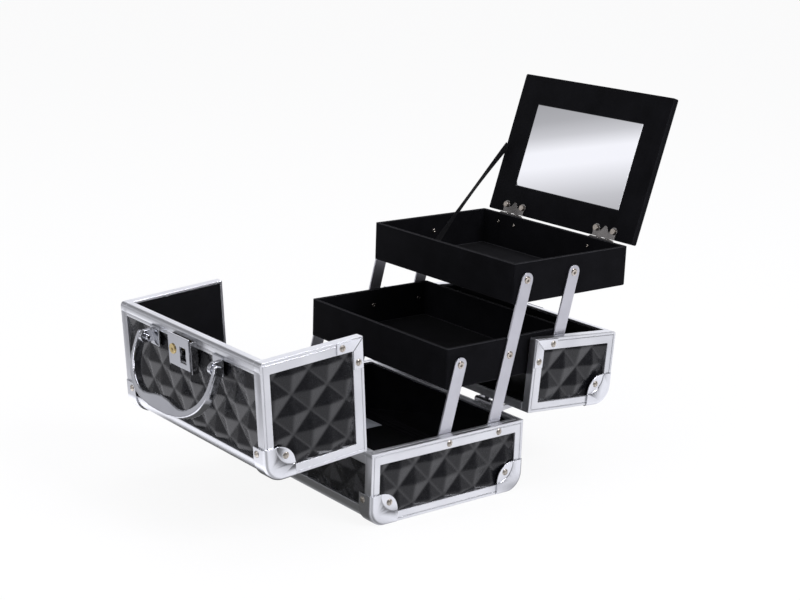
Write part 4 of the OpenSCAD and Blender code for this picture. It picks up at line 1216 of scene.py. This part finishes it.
@dataclass
class MirrorLid:
    """The lid with the mirror, its hinges and the ribbon that stays it."""

    frame: Frame
    rim: float = 0.6 * MM
    ribbon_width: float = 6.2 * MM
    ribbon_thickness: float = 0.5 * MM
    sag: float = 1.2 * MM
    twist: float = 0.5
    steps: int = 60
    across: tuple[float, ...] = (-0.5, -0.46, -0.2, 0.2, 0.46, 0.5)

    def ribbon(self) -> None:
        """Weaves the ribbon from the upper tray to the mirror lid."""
        low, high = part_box("ribbon_stay")
        x = (low.x + high.x) / 2
        start, end = Vector((x, low.y, low.z)), Vector((x, high.y, high.z))
        run = end - start
        side = Vector((1, 0, 0))
        normal = run.cross(side).normalized()
        form = bmesh.new()
        rows = []
        for i in range(self.steps + 1):
            t = i / self.steps
            middle = start + run * t - normal * self.sag * 4 * t * (1 - t)
            turn = Matrix.Rotation(math.pi / 2 + self.twist * math.sin(math.pi * t), 3, run)
            wide = turn @ side
            rows.append([form.verts.new(middle + wide * self.ribbon_width * share)
                         for share in self.across])
        uv = form.loops.layers.uv.new("ribbon")
        for i in range(self.steps):
            for j in range(len(self.across) - 1):
                spots = ((i, j), (i, j + 1), (i + 1, j + 1), (i + 1, j))
                face = form.faces.new([rows[a][b] for a, b in spots])
                for loop, (a, b) in zip(face.loops, spots):
                    loop[uv].uv = (self.across[b] * self.ribbon_width,
                                   a / self.steps * run.length)
        draft = from_bmesh(form, "ribbon_draft")
        solid = draft.modifiers.new("Thickness", "SOLIDIFY")
        solid.thickness = self.ribbon_thickness
        solid.offset = 0
        piece = plain(draft, "ribbon_stay_dressed")
        paint(piece, RIBBON)
        smooth(piece, 40)
        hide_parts("ribbon_stay")
        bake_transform(piece)
        LOG.info("%s: between upper_tray and mirror_lid, %.0f mm long", piece.name,
                 run.length * 1000)

    def build(self) -> None:
        """Builds and dresses the mirror lid and its hinges."""
        f = self.frame
        f.softened("mirror_board", TRAY_FLOCK, self.rim, 3)
        f.softened("mirror_glass", MIRROR, 0.3 * MM)
        for node in ("mirror_hinge_tray_leaves", "mirror_hinge_pins",
                     "mirror_hinge_lid_leaves"):
            f.softened(node, HINGE_STEEL, 0.12 * MM)
        self.ribbon()


@dataclass
class KeyPouch:
    """The clear pouch with two keys that lies in the base."""

    frame: Frame
    steps: int = 24
    seal: float = 0.12
    fullness: float = 0.86
    film: float = 0.06
    rise: float = 1.6

    def build(self) -> None:
        """Blows up the pouch's film around the keys and dresses both."""
        low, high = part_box("key_pouch")
        middle = (low + high) / 2
        size = high - low
        thin = min(range(3), key=lambda axis: size[axis])
        flat = [axis for axis in range(3) if axis != thin]
        form = bmesh.new()
        layers = []
        for side in (1, -1):
            grid = []
            for i in range(self.steps + 1):
                row = []
                for j in range(self.steps + 1):
                    u, v = i / self.steps * 2 - 1, j / self.steps * 2 - 1
                    inner = max(0.0, 1 - max(abs(u), abs(v)) / (1 - self.seal))
                    rise = math.sin(min(1.0, inner * self.rise) * math.pi / 2)
                    swell = rise * self.fullness + self.film
                    point = list(middle)
                    point[flat[0]] += u * size[flat[0]] / 2
                    point[flat[1]] += v * size[flat[1]] / 2
                    point[thin] += side * swell * size[thin] / 2
                    row.append(form.verts.new(point))
                grid.append(row)
            layers.append(grid)
        for grid in layers:
            for i in range(self.steps):
                for j in range(self.steps):
                    form.faces.new((grid[i][j], grid[i + 1][j], grid[i + 1][j + 1],
                                    grid[i][j + 1]))
        bmesh.ops.bridge_loops(form, edges=[e for e in form.edges if e.is_boundary])
        bmesh.ops.recalc_face_normals(form, faces=form.faces)
        piece = from_bmesh(form, "key_pouch_dressed")
        paint(piece, FILM)
        smooth(piece, 60)
        self.frame.stand_in(piece, "key_pouch")
        self.frame.softened("keys", CHROME, 0.1 * MM)


# Studio

Profile = tuple[tuple[float, float], ...]
LEFT_LEVELS: Profile = (
    (-0.55, 1.3), (-0.47, 1.2), (-0.4, 0.62), (-0.3, 0.52), (-0.24, 0.15), (-0.2, 0.15),
    (-0.14, 0.45), (0.0, 0.5), (0.14, 0.5), (0.24, 0.12))
STRIP_LEVELS: Profile = (
    (-0.06, 0.26), (-0.026, 0.6), (-0.006, 1.0), (0.003, 1.0), (0.012, 0.64), (0.021, 0.46),
    (0.06, 0.26))
RIGHT_LEVELS: Profile = ((-0.4, 1.0), (-0.22, 0.9), (-0.13, 0.15), (0.0, 0.08), (0.5, 0.2))


@dataclass
class Studio:
    """Camera, floor, lamps and world."""

    target: tuple[float, float, float] = (-15.808 * MM, 0.0, 102.737 * MM)
    azimuth: float = 52.710
    elevation: float = 16.468
    roll: float = 1.538
    distance: float = 1332.46 * MM
    lens: float = 72.59
    shift: tuple[float, float] = (0.04666, 0.05874)
    floor_reach: float = 6.0
    ambient: float = 0.62
    lamps: tuple[tuple[str, tuple[float, float, float], float, float], ...] = (
        ("key", (1.6, 0.5, 1.5), 1.0, 26.0), ("front", (-0.2, -1.9, 1.1), 1.2, 9.0),
        ("top", (-0.3, 0.3, 2.0), 1.2, 10.0))
    lamp_colour: tuple[float, float, float] = (0.94, 0.935, 1.0)
    lamp_aim: tuple[float, float, float] = (0.0, 0.0, 0.12)
    floor_drop: float = 0.3 * MM
    floor_glow: float = 0.9
    shade_level: float = 0.1
    strip_offset: float = 0.3195
    tints: tuple[float, float] = (1.02, 1.08)

    def camera(self) -> None:
        """Places the camera at the photograph's viewing angle."""
        az, el, roll = (math.radians(a) for a in (self.azimuth, self.elevation, self.roll))
        back = Vector((math.sin(az) * math.cos(el), -math.cos(az) * math.cos(el), math.sin(el)))
        right = Vector((math.cos(az), math.sin(az), 0))
        up = back.cross(right)
        across = right * math.cos(roll) + up * math.sin(roll)
        above = up * math.cos(roll) - right * math.sin(roll)
        place = Matrix.Identity(4)
        spot = Vector(self.target) + back * self.distance
        for row in range(3):
            place[row][:] = across[row], above[row], back[row], spot[row]
        data = bpy.data.cameras.new("camera")
        data.lens, data.sensor_width = self.lens, 36.0
        data.shift_x, data.shift_y = self.shift
        data.clip_start, data.clip_end = 0.05, 50.0
        camera = linked("camera", data)
        camera.matrix_world = place
        bpy.context.scene.camera = camera

    def floor(self) -> None:
        """Lays the pale floor: it keeps the shadow, and gloss sees the surroundings below it,
        except under the lids, where gloss sees a painted shade (a dim glowing patch).
        """
        form = bmesh.new()
        bmesh.ops.create_grid(form, x_segments=8, y_segments=8, size=self.floor_reach)
        bmesh.ops.translate(form, verts=form.verts, vec=(0, 0, -self.floor_drop))
        floor = from_bmesh(form, "floor")
        g = ShaderGraph("pale_floor")
        rays = g.add("ShaderNodeLightPath")
        dull = g.add("ShaderNodeBsdfDiffuse", {"Color": (0.9, 0.9, 0.9, 1)})
        pale = g.between(g.times(g.seen(rays), self.floor_glow), dull.outputs[0], g.glow(1.0))
        point = g.add("ShaderNodeSeparateXYZ", {0: g.place})
        # Painted shade: glossy rays see a dim glow (shade_level) on the floor under each lid,
        # where the lids' shadow would darken it; elsewhere they pass through the floor.
        across = g.math("ABSOLUTE", g.plus(point.outputs[0], 0.02))
        along = g.math("ABSOLUTE", g.minus(g.math("ABSOLUTE", point.outputs[1]), 0.125))
        painted_shade_under_lids = g.times(g.span(across, 0.11, 0.15, 1.0, 0.0),
                        g.span(along, 0.05, 0.075, 1.0, 0.0))
        clear = g.add("ShaderNodeBsdfTransparent").outputs[0]
        gloss = g.between(painted_shade_under_lids, clear, g.glow(self.shade_level))
        both = g.between(rays.outputs["Is Glossy Ray"], pale, gloss)
        g.tree.links.new(both, g.output.inputs["Surface"])
        floor.data.materials.append(g.material)

    def lights(self) -> None:
        """Hangs the soft lamps, each aimed at the case."""
        for name, spot, size, power in self.lamps:
            data = bpy.data.lights.new(name, "AREA")
            data.shape, data.size, data.energy = "DISK", size, power
            data.color = self.lamp_colour
            lamp = linked(name, data)
            lamp.location = spot
            aim = Vector(self.lamp_aim) - Vector(spot)
            lamp.rotation_euler = aim.to_track_quat("-Z", "Y").to_euler()

    def world(self) -> None:
        """Makes the surroundings: white behind, and in gloss dark above the right side."""
        world = bpy.data.worlds.new("surroundings")
        world.use_nodes = True
        g = Graph(world.node_tree)
        g.tree.nodes.clear()
        rays = g.add("ShaderNodeLightPath")
        way = g.add("ShaderNodeTexCoord").outputs["Generated"]
        height = g.add("ShaderNodeSeparateXYZ", {0: way}).outputs[2]
        right = g.span(g.dot(way, (0.796, 0.605, 0.0)), 0.0, 0.3, 0.0, 1.0)
        behind = g.span(g.dot(way, (-0.5, 0.866, 0.0)), 0.5, 0.75, 0.0, 1.0)
        left_level = g.profile(height, LEFT_LEVELS)
        strip = g.plus(g.dot(way, (0.0, 0.769, 0.698)), self.strip_offset)
        strip_level = g.times(g.profile(strip, STRIP_LEVELS),
                              g.span(height, 0.14, 0.2, 0.0, 1.0))
        strip_fade = g.span(height, 0.45, 0.8, 1.0, 0.3)
        left_level = g.math("MAXIMUM", left_level, g.times(strip_level, strip_fade))
        aside = g.span(g.dot(way, (0.34, 0.94, 0.0)), 0.5, 0.75, 0.5, 1.05)
        right_level = g.times(aside, g.profile(height, RIGHT_LEVELS))
        behind_level = g.span(height, 0.45, 0.9, 1.0, 0.3)
        level = g.span(right, 0.0, 1.0, left_level, right_level)
        level = g.span(behind, 0.0, 1.0, level, behind_level)
        gloss = g.span(rays.outputs["Is Glossy Ray"], 0.0, 1.0, self.ambient, level)
        seen = g.seen(rays)
        strength = g.span(seen, 0.0, 1.0, gloss, 1.0)
        warm, cool = (g.span(seen, 0.0, 1.0, tint, 1.0) for tint in self.tints)
        tint = g.add("ShaderNodeCombineColor", {0: warm, 1: warm, 2: cool})
        sky = g.add("ShaderNodeBackground", {
            "Color": tint.outputs[0], "Strength": strength})
        out = g.add("ShaderNodeOutputWorld")
        g.tree.links.new(sky.outputs[0], out.inputs["Surface"])
        bpy.context.scene.world = world
        bpy.context.scene.view_settings.view_transform = "Standard"

    def build(self) -> None:
        """Builds the whole studio."""
        self.camera()
        self.floor()
        self.lights()
        self.world()


def main() -> None:
    """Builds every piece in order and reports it."""
    logging.basicConfig(level=logging.INFO, format="%(name)s: %(message)s")
    frame = Frame()
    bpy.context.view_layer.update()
    Studio().build()
    panels, screws = DiamondPanels(), ScrewHeads()
    Base(frame, panels, screws).build()
    Lid(frame, panels, screws, "front", depth=FRONT_LID_DEPTH, opened=94.5,
        side_shift=(15 * MM, 1.8 * MM), face_shift=(0.0, 0.0),
        top_shift=(1.3 * MM, 4 * MM)).build()
    Lid(frame, panels, screws, "rear", depth=CASE_DEPTH - FRONT_LID_DEPTH - SEAM,
        opened=94.2, side_shift=(2.8 * MM, -10 * MM), face_shift=(0.0, 8 * MM),
        top_shift=(0.0, 2 * MM)).build()
    CarryingParts(frame).build()
    Trays(frame, RivetHeads()).build()
    MirrorLid(frame).build()
    KeyPouch(frame).build()
    LOG.info("%d pieces stand for the frame's nodes", frame.count)


if __name__ == "__main__":
    main()
